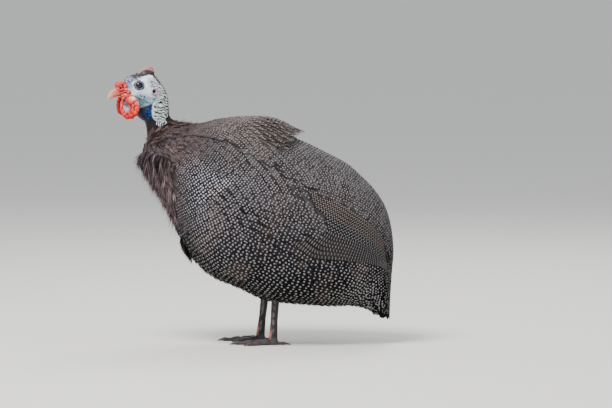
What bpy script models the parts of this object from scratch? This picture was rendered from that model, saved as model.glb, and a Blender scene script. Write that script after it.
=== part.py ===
"""A helmeted guinea fowl standing hunched, life size: metres, +Z up, facing -X with its left side at -Y."""

import itertools
import math

import bmesh
import bpy
import numpy as np

MM = 0.001
NAME = "guinea_fowl"

# Driving sizes, in millimetres from the middle of the standing bird and from the floor.
# A station is a slanted section: its under (or front) point x z, its back point x z, its half width,
# and its turn in degrees about the upright line through the top of the neck.
NECK_LINE = -128.0
HEAD_TURN = 18.0
TRUNK_STATIONS = {
    "throat top": (-145.45, 308.5, -110.65, 323.4, 12.7, 18),
    "throat bulge": (-146.2, 298.5, -107.8, 309.0, 13.6, 14),
    "throat root": (-139.0, 288.0, -106.8, 297.0, 12.8, 10),
    "mid neck": (-136.5, 276.5, -101.5, 290.6, 14.0, 6),
    "low neck": (-136.5, 262.5, -87.0, 286.5, 22.0, 3),
    "ruff": (-140.0, 249.5, -66.0, 285.5, 38.0, 0),
    "crop": (-139.0, 232.5, -37.0, 292.0, 56.0, 0),
    "high breast": (-130.0, 213.0, -7.0, 294.5, 70.0, 0),
    "shoulder": (-116.5, 192.5, 21.5, 286.5, 80.0, 0),
    "mid breast": (-102.0, 166.5, 48.0, 271.0, 86.5, 0),
    "low breast": (-91.5, 140.5, 77.4, 258.0, 90.5, 0),
    "keel": (-76.0, 113.0, 103.5, 245.0, 92.0, 0),
    "fore belly": (-50.0, 88.5, 125.5, 233.0, 90.0, 0),
    "belly": (-13.5, 72.5, 143.5, 217.0, 85.0, 0),
    "hind belly": (20.0, 57.5, 160.0, 200.0, 78.0, 0),
    "vent": (64.5, 52.0, 173.5, 179.5, 68.0, 0),
    "under tail": (103.5, 49.5, 181.5, 153.5, 56.0, 0),
    "tail root": (129.5, 50.0, 185.0, 122.0, 44.0, 0),
    "mid tail": (147.5, 47.0, 183.0, 93.5, 34.0, 0),
    "tail end": (157.5, 43.0, 181.0, 62.0, 27.0, 0),
    "tail tip": (160.5, 39.4, 180.2, 39.2, 23.0, 0),
}
HEAD_STATIONS = {
    "bill root": (-163.2, 320.5, -163.2, 342.5, 7.0, HEAD_TURN),
    "lores": (-157.6, 319.2, -156.8, 344.6, 10.4, HEAD_TURN),
    "brow": (-152.8, 317.4, -150.0, 348.2, 13.0, HEAD_TURN),
    "cheek": (-149.4, 315.6, -140.2, 350.8, 14.8, HEAD_TURN),
    "crown": (-147.2, 313.8, -130.0, 350.4, 15.2, HEAD_TURN),
    "hind crown": (-146.1, 312.0, -121.8, 342.8, 14.6, HEAD_TURN),
    "nape": (-145.6, 310.4, -114.4, 333.0, 13.6, HEAD_TURN),
    "head end": (-145.4, 308.9, -110.7, 323.8, 12.8, HEAD_TURN),
}
UPPER_BILL_STATIONS = {
    "in the face": (-160.5, 323.0, -160.5, 339.0, 7.2, HEAD_TURN),
    "under the cere": (-170.5, 322.4, -171.2, 336.8, 5.6, HEAD_TURN),
    "before the cere": (-177.5, 321.4, -178.6, 333.2, 4.3, HEAD_TURN),
    "hook": (-182.8, 319.8, -182.2, 329.4, 3.0, HEAD_TURN),
    "low hook": (-186.0, 318.2, -185.6, 324.0, 1.8, HEAD_TURN),
    "tip": (-188.0, 316.4, -188.1, 318.4, 0.6, HEAD_TURN),
}
LOWER_BILL_STATIONS = {
    "in the face": (-160.5, 317.6, -160.5, 322.2, 6.2, HEAD_TURN),
    "jaw": (-170.5, 317.3, -170.5, 321.6, 4.9, HEAD_TURN),
    "chin": (-178.0, 317.2, -178.6, 320.4, 3.4, HEAD_TURN),
    "lower tip": (-184.2, 317.7, -184.4, 318.9, 1.5, HEAD_TURN),
}
CASQUE_STATIONS = {
    "in the crown": (-152.5, 345.5, -125.6, 345.5, 6.4, HEAD_TURN),
    "foot": (-149.8, 351.5, -124.8, 351.5, 5.3, HEAD_TURN),
    "waist": (-144.6, 356.0, -125.8, 355.6, 4.2, HEAD_TURN),
    "shoulder": (-139.0, 358.9, -127.0, 359.0, 3.1, HEAD_TURN),
    "ridge": (-134.6, 361.1, -129.6, 361.3, 1.7, HEAD_TURN),
}
SQUARENESS = 2.25
BELLY_FULLNESS = 0.07

EYE = {"radius": 5.4, "x": -148.7, "z": 336.2, "proud": 2.0}
CERE = {"x": -170.9, "z": 336.6, "y": 2.6, "radii": (6.6, 4.2, 4.6)}
EAR = {"x": -128.6, "z": 328.4, "radii": (2.1, 3.0, 1.7)}
NOSTRIL = {"x": -171.0, "z": 333.6, "y": 6.4, "radii": (1.9, 2.2, 0.9)}
WATTLE = {"root": (-160.6, 9.5, 322.0), "length": 32.0, "half_width": 12.0}
WATTLE.update(thickness=2.5, flare=6.0, cup=6.5)

# Feather rows: how many, where their roots and tips lie along the trunk, and how far they spread in degrees.
LEAF_GAP = 0.35
COVER = 1.36
RECTRICES = {"count": 11, "root": 17.15, "tip": 20.0, "spread": 74.0, "round": 0.3}
TAIL_COVERTS = {"count": 7, "root": 17.08, "tip": 18.75, "spread": 66.0}
MANTLE = {"count": 7, "root": 8.05, "tip": 9.95, "spread": 47.0, "round": 0.45}
SECONDARIES = {"count": 7, "root": (13.7, 103.0), "tip": (17.62, 75.0), "pitch": 5.8}
COVERT_TIERS = (
    {"count": 6, "root": 12.4, "tip": 14.3, "low": 99.0, "high": 52.0},
    {"count": 6, "root": 10.75, "tip": 12.65, "low": 101.0, "high": 52.0},
)
RUFF_TIERS = (
    {"count": 11, "root": 2.75, "tip": 3.68, "low": 30.0, "ragged": 0.1},
    {"count": 15, "root": 4.35, "tip": 5.82, "low": 20.0, "ragged": 0.3},
)
BREAST_TIERS = (
    {"count": 9, "root": 6.04, "tip": 7.3, "low": 104.0, "ragged": 0.15},
    {"count": 8, "root": 7.22, "tip": 8.5, "low": 116.0, "ragged": 0.15},
)
NECK_FOLDS = {"low": 14.0, "high": 76.0, "hem": 2.45, "pitch": 24.0, "thickness": 0.5, "ridge": 1.3}

LEGS = {
    "left": {"side": -1, "hock": (34.0, 84.0), "ankle": (29.5, 9.0), "heading": 4.0},
    "right": {"side": 1, "hock": (21.0, 84.0), "ankle": (12.5, 9.0), "heading": -4.0},
}
LEG_SPREAD = 27.0
TOES = {"inner": (34.0, -32.0), "middle": (48.0, -3.0), "outer": (36.0, 27.0), "hind": (15.0, 172.0)}
CLAW_LENGTH = 9.0
CLAW_LIFT = 0.1

# Gaps in millimetres between touching pieces.
TOUCH = 0.35


def rows_of(stations):
    return np.array(list(stations.values()), float)


TRUNK, HEAD = rows_of(TRUNK_STATIONS), rows_of(HEAD_STATIONS)
PLACE = {name: float(place) for place, name in enumerate(TRUNK_STATIONS)}


def material(name, colour, roughness):
    made = bpy.data.materials.new(name)
    made.use_nodes = True
    shader = made.node_tree.nodes["Principled BSDF"]
    shader.inputs["Base Color"].default_value = (*colour, 1.0)
    shader.inputs["Roughness"].default_value = roughness
    return made


def mesh_object(name, points, faces, group):
    """A mesh object from points in millimetres, its faces turned outwards."""
    mesh = bpy.data.meshes.new(name)
    mesh.from_pydata([tuple(point) for point in np.asarray(points) * MM], [], faces)
    form = bmesh.new()
    form.from_mesh(mesh)
    bmesh.ops.recalc_face_normals(form, faces=form.faces)
    form.to_mesh(mesh)
    form.free()
    mesh.shade_smooth()
    made = bpy.data.objects.new(name, mesh)
    group.objects.link(made)
    return made


def smooth(rows, place):
    """The Catmull-Rom curve through the rows at a fractional row number."""
    last = len(rows) - 1
    start = int(min(max(math.floor(place), 0), last - 1))
    part = place - start
    first, second = rows[start], rows[start + 1]
    before = rows[start - 1] if start > 0 else 2 * first - second
    after = rows[start + 2] if start + 2 <= last else 2 * second - first
    bend = 2 * before - 5 * first + 4 * second - after
    twist = 3 * (first - second) + after - before
    return first + 0.5 * part * (second - before + part * (bend + part * twist))


def surface_point(rows, place, angle):
    """A point of a lofted body: angle 0 is the back, 90 the left side and 180 the under side, in degrees."""
    under_x, under_z, back_x, back_z, half_width, turn = smooth(rows, place)
    cosine, sine = math.cos(math.radians(angle)), math.sin(math.radians(angle))
    along = math.copysign(abs(cosine) ** (2 / SQUARENESS), cosine)
    aside = math.copysign(abs(sine) ** (2 / SQUARENESS), sine)
    x = (under_x + back_x) / 2 + along * (back_x - under_x) / 2 - NECK_LINE
    y = -half_width * aside * (1 - BELLY_FULLNESS * along)
    z = (under_z + back_z) / 2 + along * (back_z - under_z) / 2
    turned = math.radians(turn)
    return np.array([
        NECK_LINE + x * math.cos(turned) - y * math.sin(turned),
        x * math.sin(turned) + y * math.cos(turned),
        z,
    ])


def surface_normal(rows, place, angle):
    """The outward direction there, from the steps to the next sections and the next angles."""
    ahead = surface_point(rows, place + 0.03, angle) - surface_point(rows, place - 0.03, angle)
    around = surface_point(rows, place, angle + 1.5) - surface_point(rows, place, angle - 1.5)
    normal = np.cross(ahead, around)
    normal /= np.linalg.norm(normal)
    middle = (surface_point(rows, place, 0) + surface_point(rows, place, 180)) / 2
    return normal if normal @ (surface_point(rows, place, angle) - middle) > 0 else -normal


def lifted_point(rows, place, angle, lift):
    return surface_point(rows, place, angle) + lift * surface_normal(rows, place, angle)


def section_offset(rows, place, angle, lift):
    """The point moved outwards by a lift within the plane of its own section."""
    point = surface_point(rows, place, angle)
    if not lift:
        return point
    back = surface_point(rows, place, 0) - surface_point(rows, place, 180)
    square = np.cross(back, surface_point(rows, place, 90) - surface_point(rows, place, 270))
    square /= np.linalg.norm(square)
    normal = surface_normal(rows, place, angle)
    outward = normal - (normal @ square) * square
    return point + lift * outward / np.linalg.norm(outward)


def loft(name, rings, group):
    """A closed body through rings of equal count, in triangles, with a fan at each end."""
    count = len(rings[0])
    points = [point for ring in rings for point in ring]
    faces = []
    for row in range(len(rings) - 1):
        for step in range(count):
            near, beside = row * count + step, row * count + (step + 1) % count
            faces += [(near, beside, beside + count), (near, beside + count, near + count)]
    for ring, offset in ((rings[0], 0), (rings[-1], (len(rings) - 1) * count)):
        hub = len(points)
        points.append(np.mean(ring, axis=0))
        faces += [(offset + step, offset + (step + 1) % count, hub) for step in range(count)]
    return mesh_object(name, points, faces, group)


def body_rings(rows, places, around, lift=lambda place, angle: 0.0):
    angles = np.linspace(0, 360, around, endpoint=False)
    return [[section_offset(rows, place, angle, lift(place, angle)) for angle in angles] for place in places]


def ellipsoid(name, centre, radii, turn, group, rings=7):
    """A ball stretched to three radii, turned about the neck line with the head."""
    form = bmesh.new()
    bmesh.ops.create_uvsphere(form, u_segments=2 * rings, v_segments=rings, radius=1.0)
    bmesh.ops.triangulate(form, faces=form.faces)
    points = np.array([vertex.co[:] for vertex in form.verts]) * radii + centre
    faces = [[vertex.index for vertex in face.verts] for face in form.faces]
    form.free()
    return mesh_object(name, turned_points(points, turn), faces, group)


def turned_points(points, turn):
    points = np.array(points, float)
    turned = math.radians(turn)
    x, y = points[:, 0] - NECK_LINE, points[:, 1].copy()
    points[:, 0] = NECK_LINE + x * math.cos(turned) - y * math.sin(turned)
    points[:, 1] = x * math.sin(turned) + y * math.cos(turned)
    return points


def tube(name, path, radii, group, around=10, flat=1.0):
    """A closed tapered tube along a path, its sections square to it and flattened upright by a share."""
    path = np.asarray(path, float)
    rings = []
    for row, point in enumerate(path):
        ahead = path[row] - path[row - 1] if row == len(path) - 1 else path[row + 1] - path[max(row - 1, 0)]
        ahead /= np.linalg.norm(ahead)
        across = np.cross(ahead, (0.0, 0.0, 1.0) if abs(ahead[2]) < 0.8 else (-1.0, 0.0, 0.0))
        across /= np.linalg.norm(across)
        upward = np.cross(across, ahead)
        ring = []
        for step in range(around):
            angle = 2 * math.pi * step / around
            ring.append(point + radii[row] * (math.cos(angle) * across + flat * math.sin(angle) * upward))
        rings.append(ring)
    return loft(name, rings, group)


def settle(made):
    """Applies the object's modifiers to its mesh."""
    graph = bpy.context.evaluated_depsgraph_get()
    mesh = bpy.data.meshes.new_from_object(made.evaluated_get(graph))
    made.modifiers.clear()
    old, made.data = made.data, mesh
    bpy.data.meshes.remove(old)
    mesh.name = made.name


FLAT_WITHIN = (1.5, 1.0, 0.5, 0.1)
SMALLEST_EDGE = (5e-6, 1e-6, 1e-7)


def joined_flats(made):
    """The mesh in triangles, with nearly flat neighbours joined as far as every edge keeps two faces."""
    for shortest, limit in itertools.product(SMALLEST_EDGE, FLAT_WITHIN):
        form = bmesh.new()
        form.from_mesh(made.data)
        bmesh.ops.remove_doubles(form, verts=form.verts, dist=shortest)
        bmesh.ops.dissolve_degenerate(form, edges=form.edges, dist=shortest)
        bmesh.ops.dissolve_limit(form, angle_limit=math.radians(limit), verts=form.verts, edges=form.edges)
        bmesh.ops.triangulate(form, faces=form.faces)
        if all(len(edge.link_faces) == 2 for edge in form.edges):
            break
    return form


def keep_largest(made):
    """Keeps only the closed surface that holds the most."""
    form = joined_flats(made)
    left, shells = set(form.faces), []
    while left:
        front, shell = [left.pop()], []
        while front:
            face = front.pop()
            shell.append(face)
            for edge in face.edges:
                for other in edge.link_faces:
                    if other in left:
                        left.remove(other)
                        front.append(other)
        volume = sum(face.verts[0].co.dot(face.verts[1].co.cross(face.verts[2].co)) for face in shell)
        shells.append((abs(volume), shell))
    shells.sort(key=lambda pair: pair[0])
    loose = [face for _, shell in shells[:-1] for face in shell]
    bmesh.ops.delete(form, geom=loose, context="FACES")
    bmesh.ops.delete(form, geom=[vertex for vertex in form.verts if not vertex.link_faces], context="VERTS")
    form.to_mesh(made.data)
    form.free()
    made.data.shade_smooth()


def combine(made, group, operation, solver="EXACT"):
    """One Boolean of the object with every mesh of a collection, which is then emptied."""
    step = made.modifiers.new(operation.lower(), "BOOLEAN")
    step.operation, step.operand_type, step.collection, step.solver = operation, "COLLECTION", group, solver
    settle(made)
    for piece in list(group.objects):
        bpy.data.objects.remove(piece, do_unlink=True)
    keep_largest(made)


def finish(made, finish_material):
    made.data.materials.clear()
    made.data.materials.append(finish_material)
    return made


def mirrored(name, source, group):
    """A copy of a finished piece on the bird's other side."""
    points = np.array([vertex.co[:] for vertex in source.data.vertices]) * (1.0, -1.0, 1.0) / MM
    faces = [tuple(face.vertices)[::-1] for face in source.data.polygons]
    made = mesh_object(name, points, faces, group)
    return finish(made, source.data.materials[0])


def wing_frame(place):
    """The lower and the upper edge of the folded wing, as angles, at a place along the trunk."""
    start, tip = PLACE["shoulder"] - 0.2, PLACE["mid tail"] + 0.25
    part = min(max((place - start) / (tip - start), 0.0), 1.0)
    marks = (0.0, 0.06, 0.35, 0.60, 0.85, 0.95, 1.0)
    lower = np.interp(part, marks, (92.0, 112.0, 108.0, 99.0, 76.0, 60.0, 46.0))
    upper = np.interp(part, marks, (72.0, 50.0, 38.0, 33.0, 34.0, 38.0, 43.0))
    return lower, upper, part


def wing_bed(place, angle):
    """How deep the flank lies under the outer line where the wing covers it."""
    lower, upper, part = wing_frame(place)
    off_angle = angle if angle <= 180 else 360 - angle
    inside = min((lower - off_angle) / 14.0, (off_angle - upper) / 14.0, part / 0.06, 1.0)
    ramp = max(inside, 0.0)
    return -WING_DEPTH * ramp * ramp * (3 - 2 * ramp) if 0 < part < 1 else 0.0


WING_DEPTH = 4.0
TRUNK_GAP = 0.7
TORSO_RINGS, TORSO_AROUND = 25, 28
TAIL_AROUND = 22


def vane(name, root, tip, lifts, thickness, work, pitch, point=0.3, cover=COVER, leaning=True):
    """A flat tapered feather laid over the trunk from its root to its tip, each a place and an angle.

    The lifts give its height over the surface at its sunk root, where it comes free, and at its tip. The
    pitch is the step in degrees to the next feather of the row: each is as wide as the cover's share of that
    step, and leans just enough to pass under that neighbour without touching it.
    """
    sections = []
    root, tip = np.array(root), np.array(tip)
    for share, narrow in ((0.0, 0.8), (0.2, 0.96), (0.76, 1.0), (1.0, point)):
        place, angle = root + share * (tip - root)
        lift = np.interp(share, (0.0, 0.2, 1.0), lifts)
        centre = lifted_point(TRUNK, place, angle, lift)
        back, front = root + (share - 0.02) * (tip - root), root + (share + 0.02) * (tip - root)
        ahead = surface_point(TRUNK, *front) - surface_point(TRUNK, *back)
        ahead /= np.linalg.norm(ahead)
        normal = surface_normal(TRUNK, place, angle)
        across = np.cross(ahead, normal)
        step = surface_point(TRUNK, place, angle + abs(pitch)) - surface_point(TRUNK, place, angle)
        beside = np.linalg.norm(step)
        lean = math.copysign((thickness + LEAF_GAP) / beside, pitch) if leaning else 0.0
        wide = 0.5 * cover * narrow * beside
        thick = thickness / 2
        sections.append([
            centre - across * wide + normal * (thick - lean * wide),
            centre + across * wide + normal * (thick + lean * wide),
            centre + across * wide + normal * (-thick + lean * wide),
            centre - across * wide + normal * (-thick - lean * wide),
        ])
    return loft(name, sections, work)


def row_of_vanes(name, row, lifts, thickness, work, fan=1.0, ragged=0.2, point=0.4):
    """A row of feathers on both sides of the back's middle line, each lying over its outer neighbour."""
    angles = np.linspace(-row["spread"], row["spread"], row["count"])
    for step, angle in enumerate(angles):
        tip = row["tip"] - row.get("round", 0.0) * (angle / row["spread"]) ** 2 - ragged * (step % 2)
        middle = abs(angle) < 1
        raised = 0.55 * COVER * (thickness + LEAF_GAP) if middle else 0.0
        pitch = math.copysign(angles[1] - angles[0], angle)
        heights = np.array(lifts) + raised
        vane(name, (row["root"], angle), (tip, angle * fan), heights, thickness, work, pitch, point,
             leaning=not middle)


def make_torso(parts, work, feathers):
    """The trunk from the ruff to the tail root, with loose mantle feathers and the breast's long locks."""
    places = np.linspace(PLACE["ruff"] + 0.02, PLACE["tail root"], TORSO_RINGS)
    made = loft("torso", body_rings(TRUNK, places, TORSO_AROUND, wing_bed), parts)
    row_of_vanes("mantle", MANTLE, (-3.0, 2.8, 5.0), 1.4, work, ragged=0.08)
    for tier in BREAST_TIERS:
        ring_of_locks("breast_lock", tier, (-2.0, 1.7, 2.9), 0.9, work)
    combine(made, work, "UNION", "MANIFOLD")
    return finish(made, feathers)


def torso_blocker(work, swapped=False):
    """The torso grown by the gap between touching pieces, or its mirror image, to cut neighbours clear."""
    places = np.linspace(PLACE["ruff"] + 0.02, PLACE["tail root"], TORSO_RINGS)
    rings = body_rings(TRUNK, places, TORSO_AROUND, lambda place, angle: wing_bed(place, angle) + TRUNK_GAP)
    made = loft("torso_blocker", rings, work)
    if swapped:
        for vertex in made.data.vertices:
            vertex.co.y = -vertex.co.y
        made.data.flip_normals()
    return made


def make_wing(side, parts, work, feathers):
    """The folded left wing, a shell over the flank with its rows of feathers, or the right as its mirror."""
    if side == "right":
        return mirrored("wing_right", bpy.data.objects["wing_left"], parts)
    places = np.linspace(PLACE["shoulder"] - 0.12, PLACE["mid tail"] + 0.22, 16)
    shares = np.linspace(0.0, 1.0, 8)
    outer, inner = [], []
    for place in places:
        lower, upper, part = wing_frame(place)
        for row, depth in ((outer, None), (inner, -10.0)):
            ring = []
            for share in shares:
                angle = lower + share * (upper - lower)
                rim = min(share, 1 - share, part * 2, (1 - part) * 2) / 0.15
                crown = math.sqrt(max(min(rim, 1.0), 0.0))
                lift = -0.3 - 1.1 * crown if depth is None else depth
                ring.append(lifted_point(TRUNK, place, angle, lift))
            row.append(ring)
    count = len(shares)
    rings = [list(top) + list(reversed(bottom)) for top, bottom in zip(outer, inner)]
    made = loft("wing_" + side, rings, parts)
    flight_feathers(work)
    combine(made, work, "UNION")
    torso_blocker(work)
    torso_blocker(work, swapped=True)
    tail_blocker(work)
    combine(made, work, "DIFFERENCE")
    return finish(made, feathers)


def flight_feathers(work):
    """The long flight feathers and the two tiers of coverts, each row lying over the one before."""
    (place, angle), (tip_place, tip_angle) = SECONDARIES["root"], SECONDARIES["tip"]
    for step in range(SECONDARIES["count"]):
        root = (place - 0.06 * step, angle - SECONDARIES["pitch"] * step)
        tip = (tip_place - 0.08 * step, tip_angle - SECONDARIES["pitch"] * step)
        vane("flight_feather", root, tip, (-3.0, 1.4, 2.0), 0.8, work, SECONDARIES["pitch"], 0.4)
    for tier in COVERT_TIERS:
        angles = np.linspace(tier["low"], tier["high"], tier["count"])
        for step, angle in enumerate(angles):
            reach = tier["tip"] + 0.12 * math.cos(3.0 * step)
            vane("covert", (tier["root"], angle), (reach, angle - 3.0), (-3.5, 1.5, 4.0), 0.8, work,
                 angles[0] - angles[1], 0.45)


def ring_of_locks(name, tier, lifts, thickness, work):
    """A row of long loose locks round the front and sides, from one side's low angle to the other's."""
    angles = np.linspace(tier["low"], 360 - tier["low"], tier["count"])
    for step, angle in enumerate(angles):
        tip = tier["tip"] - tier["ragged"] * math.sin(1.7 * step) ** 2
        pitch = angles[1] - angles[0]
        vane(name, (tier["root"], angle), (tip, angle), lifts, thickness, work, pitch, 0.15, 1.25)


def tail_sink(place, angle):
    """The tail's core lies under its feathers and thins towards its end."""
    return -6.9 - 1.2 * max(place - PLACE["mid tail"], 0.0)


def make_tail(parts, work, feathers):
    """The drooping tail: long feathers side by side like a roof, with a row of coverts over their roots."""
    places = np.linspace(PLACE["tail root"] + 0.02, PLACE["tail end"] + 0.2, 10)
    made = loft("tail", body_rings(TRUNK, places, TAIL_AROUND, tail_sink), parts)
    row_of_vanes("rectrix", RECTRICES, (-9.0, -4.7, -4.1), 0.8, work, 0.92, 0.0, 0.5)
    row_of_vanes("tail_covert", TAIL_COVERTS, (-9.5, -1.5, -1.3), 0.8, work, 0.95)
    combine(made, work, "UNION", "MANIFOLD")
    torso_blocker(work)
    combine(made, work, "DIFFERENCE", "MANIFOLD")
    return finish(made, feathers)


def tail_blocker(work):
    places = np.linspace(PLACE["tail root"] - 0.3, PLACE["tail end"] + 0.4, 14)
    return loft("tail_blocker", body_rings(
        TRUNK, places, TAIL_AROUND, lambda place, angle: TOUCH), work)


NECK_END = 3.7


def make_neck(parts, work, skin):
    """The bare upper neck, the blue throat's bulge in front and a flap of wrinkled skin down each side."""
    made = loft("neck", body_rings(TRUNK, np.linspace(0.0, NECK_END, 15), 30, neck_fold), parts)
    ring_of_locks("hackle", RUFF_TIERS[0], (-1.5, 1.6, 1.6), 0.8, work)
    combine(made, work, "UNION")
    return finish(made, skin)


def neck_fold(place, angle):
    """The height of the flap's folds: ridges and furrows beside the nape that end in a hanging hem."""
    aside = angle if angle <= 180 else 360 - angle
    inside = min(aside - NECK_FOLDS["low"], NECK_FOLDS["high"] - aside)
    across = min(max(inside / 8.0, 0.0), 1.0)
    along = min(max(place / 0.4, 0.0), max((NECK_FOLDS["hem"] - place) / 0.25, 0.0), 1.0)
    ridge = 0.5 + 0.5 * math.cos(math.radians(aside * 360 / NECK_FOLDS["pitch"]))
    return across * along * (NECK_FOLDS["thickness"] + NECK_FOLDS["ridge"] * ridge)


def make_ruff(parts, work, feathers):
    """The feathered foot of the neck, with its loose locks hanging over the breast and shoulders."""
    made = loft("ruff", body_rings(TRUNK, np.linspace(NECK_END + 0.03, PLACE["ruff"], 7), 24), parts)
    ring_of_locks("ruff_lock", RUFF_TIERS[1], (-2.0, 1.9, 2.4), 1.0, work)
    combine(made, work, "UNION", "MANIFOLD")
    torso_blocker(work)
    combine(made, work, "DIFFERENCE", "MANIFOLD")
    return finish(made, feathers)


def head_blocker(work, growth=TOUCH):
    """The bare head and cere grown by a gap, to cut the horn pieces clear."""
    loft("head_blocker", body_rings(HEAD, np.linspace(0, 7, 16), 20, lambda place, angle: growth), work)
    for side in (-1, 1):
        centre = (CERE["x"], side * CERE["y"], CERE["z"])
        ellipsoid("cere_blocker", centre, np.array(CERE["radii"]) + growth, HEAD_TURN, work, 6)


def head_half_width(x, z):
    """How far the head's side lies from its middle plane at a place in its side view."""
    best = (1e9, 10.0)
    for place in np.linspace(0, 7, 57):
        for angle in range(20, 165, 3):
            point = turned_points([surface_point(HEAD, place, angle)], -HEAD_TURN)[0]
            best = min(best, ((point[0] - x) ** 2 + (point[2] - z) ** 2, -point[1]))
    return best[1]


def make_head(parts, work, skin):
    made = loft("head", body_rings(HEAD, np.linspace(0, 7, 16), 20), parts)
    for side in (-1, 1):
        centre = (CERE["x"], side * CERE["y"], CERE["z"])
        ellipsoid("cere_lobe", centre, CERE["radii"], HEAD_TURN, work, 6)
        depth = head_half_width(EYE["x"], EYE["z"])
        eye_lids("lids", (EYE["x"], side * (depth - 0.3), EYE["z"]), work)
    combine(made, work, "UNION")
    for side in (-1, 1):
        depth = head_half_width(EYE["x"], EYE["z"]) - EYE["radius"] + EYE["proud"]
        socket = np.full(3, EYE["radius"] + TOUCH)
        ellipsoid("socket", (EYE["x"], side * depth, EYE["z"]), socket, HEAD_TURN, work)
        ear_depth = head_half_width(EAR["x"], EAR["z"])
        ellipsoid("ear", (EAR["x"], side * ear_depth, EAR["z"]), EAR["radii"], HEAD_TURN, work, 4)
        centre = (NOSTRIL["x"], side * NOSTRIL["y"], NOSTRIL["z"])
        ellipsoid("nostril", centre, NOSTRIL["radii"], HEAD_TURN, work, 4)
    combine(made, work, "DIFFERENCE")
    return finish(made, skin)


def eye_lids(name, centre, work):
    """A ring of lid round the eye, thicker above than below."""
    rings = []
    around, sides = 12, 5
    for turn in np.linspace(0, 2 * math.pi, around, endpoint=False):
        thick = 1.25 + 0.3 * math.sin(turn)
        ring = []
        for step in np.linspace(0, 2 * math.pi, sides, endpoint=False):
            reach = EYE["radius"] - 0.6 + thick * math.cos(step)
            ring.append((
                centre[0] + reach * math.cos(turn),
                centre[1] + thick * math.sin(step),
                centre[2] + 0.92 * reach * math.sin(turn),
            ))
        rings.append(turned_points(ring, HEAD_TURN))
    points = np.concatenate(rings)
    faces = []
    for row in range(around):
        for step in range(sides):
            near, beside = row * sides + step, row * sides + (step + 1) % sides
            far, far_beside = (near + sides) % len(points), (beside + sides) % len(points)
            faces += [(near, beside, far_beside), (near, far_beside, far)]
    return mesh_object(name, points, faces, work)


def make_eye(side, parts, gloss):
    sign = -1 if side == "left" else 1
    depth = head_half_width(EYE["x"], EYE["z"]) - EYE["radius"] + EYE["proud"]
    radii = np.full(3, EYE["radius"])
    made = ellipsoid("eye_" + side, (EYE["x"], sign * depth, EYE["z"]), radii, HEAD_TURN, parts)
    return finish(made, gloss)


def make_horn(name, stations, rings, around, parts, work, horn):
    """A horn piece lofted through its stations and cut clear of the bare head."""
    rows = rows_of(stations)
    made = loft(name, body_rings(rows, np.linspace(0, len(rows) - 1, rings), around), parts)
    head_blocker(work)
    combine(made, work, "DIFFERENCE")
    return finish(made, horn)


def make_wattle(side, parts, work, skin):
    """A cupped flap that hangs from the corner of the mouth, thick at its root and its rim."""
    sign = -1 if side == "left" else 1
    root_x, root_y, root_z = WATTLE["root"]
    sections = []
    for share in np.linspace(0.0, 1.0, 11):
        z = root_z - WATTLE["length"] * share
        swell = math.sin(math.pi * min(0.12 + 0.88 * share, 1.0) ** 0.8)
        half = max(WATTLE["half_width"] * max(swell, 0.0) ** 0.6, 0.8)
        out = root_y + WATTLE["flare"] * math.sin(math.pi * 0.55 * share)
        centre_x = root_x - 1.5 * share
        ring = []
        for angle in np.linspace(0, 2 * math.pi, 14, endpoint=False):
            across = math.cos(angle)
            cup = WATTLE["cup"] * (across ** 2 - 0.4) * swell * (1.0 if across < 0 else 0.35)
            thick = WATTLE["thickness"] * (0.65 + 0.75 * (1 - share) ** 2) * min(half / 3.0, 1.0)
            ring.append((centre_x + half * across, sign * (out + cup + thick * math.sin(angle)), z))
        sections.append(turned_points(ring, HEAD_TURN))
    made = loft("wattle_" + side, sections, parts)
    head_blocker(work)
    for stations, rings, around in ((UPPER_BILL_STATIONS, 10, 10), (LOWER_BILL_STATIONS, 7, 8)):
        rows = rows_of(stations)
        places = np.linspace(-0.2, len(rows) - 0.9, rings)
        loft("bill_blocker", body_rings(rows, places, around, lambda place, angle: TOUCH + 0.1), work)
    combine(made, work, "DIFFERENCE")
    return finish(made, skin)


def make_leg(side, parts, work, skin):
    leg = LEGS[side]
    y = leg["side"] * LEG_SPREAD
    (hock_x, hock_z), (ankle_x, ankle_z) = leg["hock"], leg["ankle"]
    path, radii = [], []
    for share in np.linspace(0, 1, 10):
        height = hock_z + (ankle_z + 4.0 - hock_z) * share
        path.append((hock_x + (ankle_x - hock_x) * share, y, height))
        radii.append(np.interp(share, (0, 0.25, 0.7, 1.0), (7.0, 5.4, 4.6, 5.4)))
    path.append((ankle_x, y, ankle_z))
    radii.append(5.6)
    made = tube("leg_" + side, path, radii, parts, around=12)
    torso_blocker(work)
    combine(made, work, "DIFFERENCE")
    return finish(made, skin)


def toe_path(side, toe):
    """The toe's line on the floor from under the ankle, as points in millimetres and their radii."""
    leg = LEGS[side]
    length, spread = TOES[toe]
    heading = math.radians(180 + leg["heading"] - leg["side"] * spread)
    start = np.array([leg["ankle"][0], leg["side"] * LEG_SPREAD, 0.0])
    ahead = np.array([math.cos(heading), math.sin(heading), 0.0])
    path, radii = [], []
    knuckles = 3 if toe != "hind" else 1
    for share in np.linspace(0, 1, 8):
        radius = 3.9 - 1.5 * share + 0.35 * math.cos(2 * math.pi * knuckles * share)
        radius *= 0.8 if toe == "hind" else 1.0
        height = radius - 0.45 + 0.3 * (1 - share) ** 3
        path.append(start + ahead * length * share + (0.0, 0.0, height))
        radii.append(radius)
    return path, radii, ahead


def make_foot(side, parts, work, skin):
    leg = LEGS[side]
    ankle_x, ankle_z = leg["ankle"]
    y = leg["side"] * LEG_SPREAD
    palm = [(ankle_x, y, height) for height in (-0.6, 2.0, 4.5, 6.8, ankle_z - TOUCH)]
    made = tube("foot_" + side, palm, (6.4, 7.0, 6.6, 5.9, 5.6), parts, around=10)
    for toe in TOES:
        path, radii, _ = toe_path(side, toe)
        tube("toe", path, radii, work, around=6)
    combine(made, work, "UNION")
    slab("floor_cut", (ankle_x, y, -10.0), (90.0, 90.0, 10.0), work)
    combine(made, work, "DIFFERENCE")
    return finish(made, skin)


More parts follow.
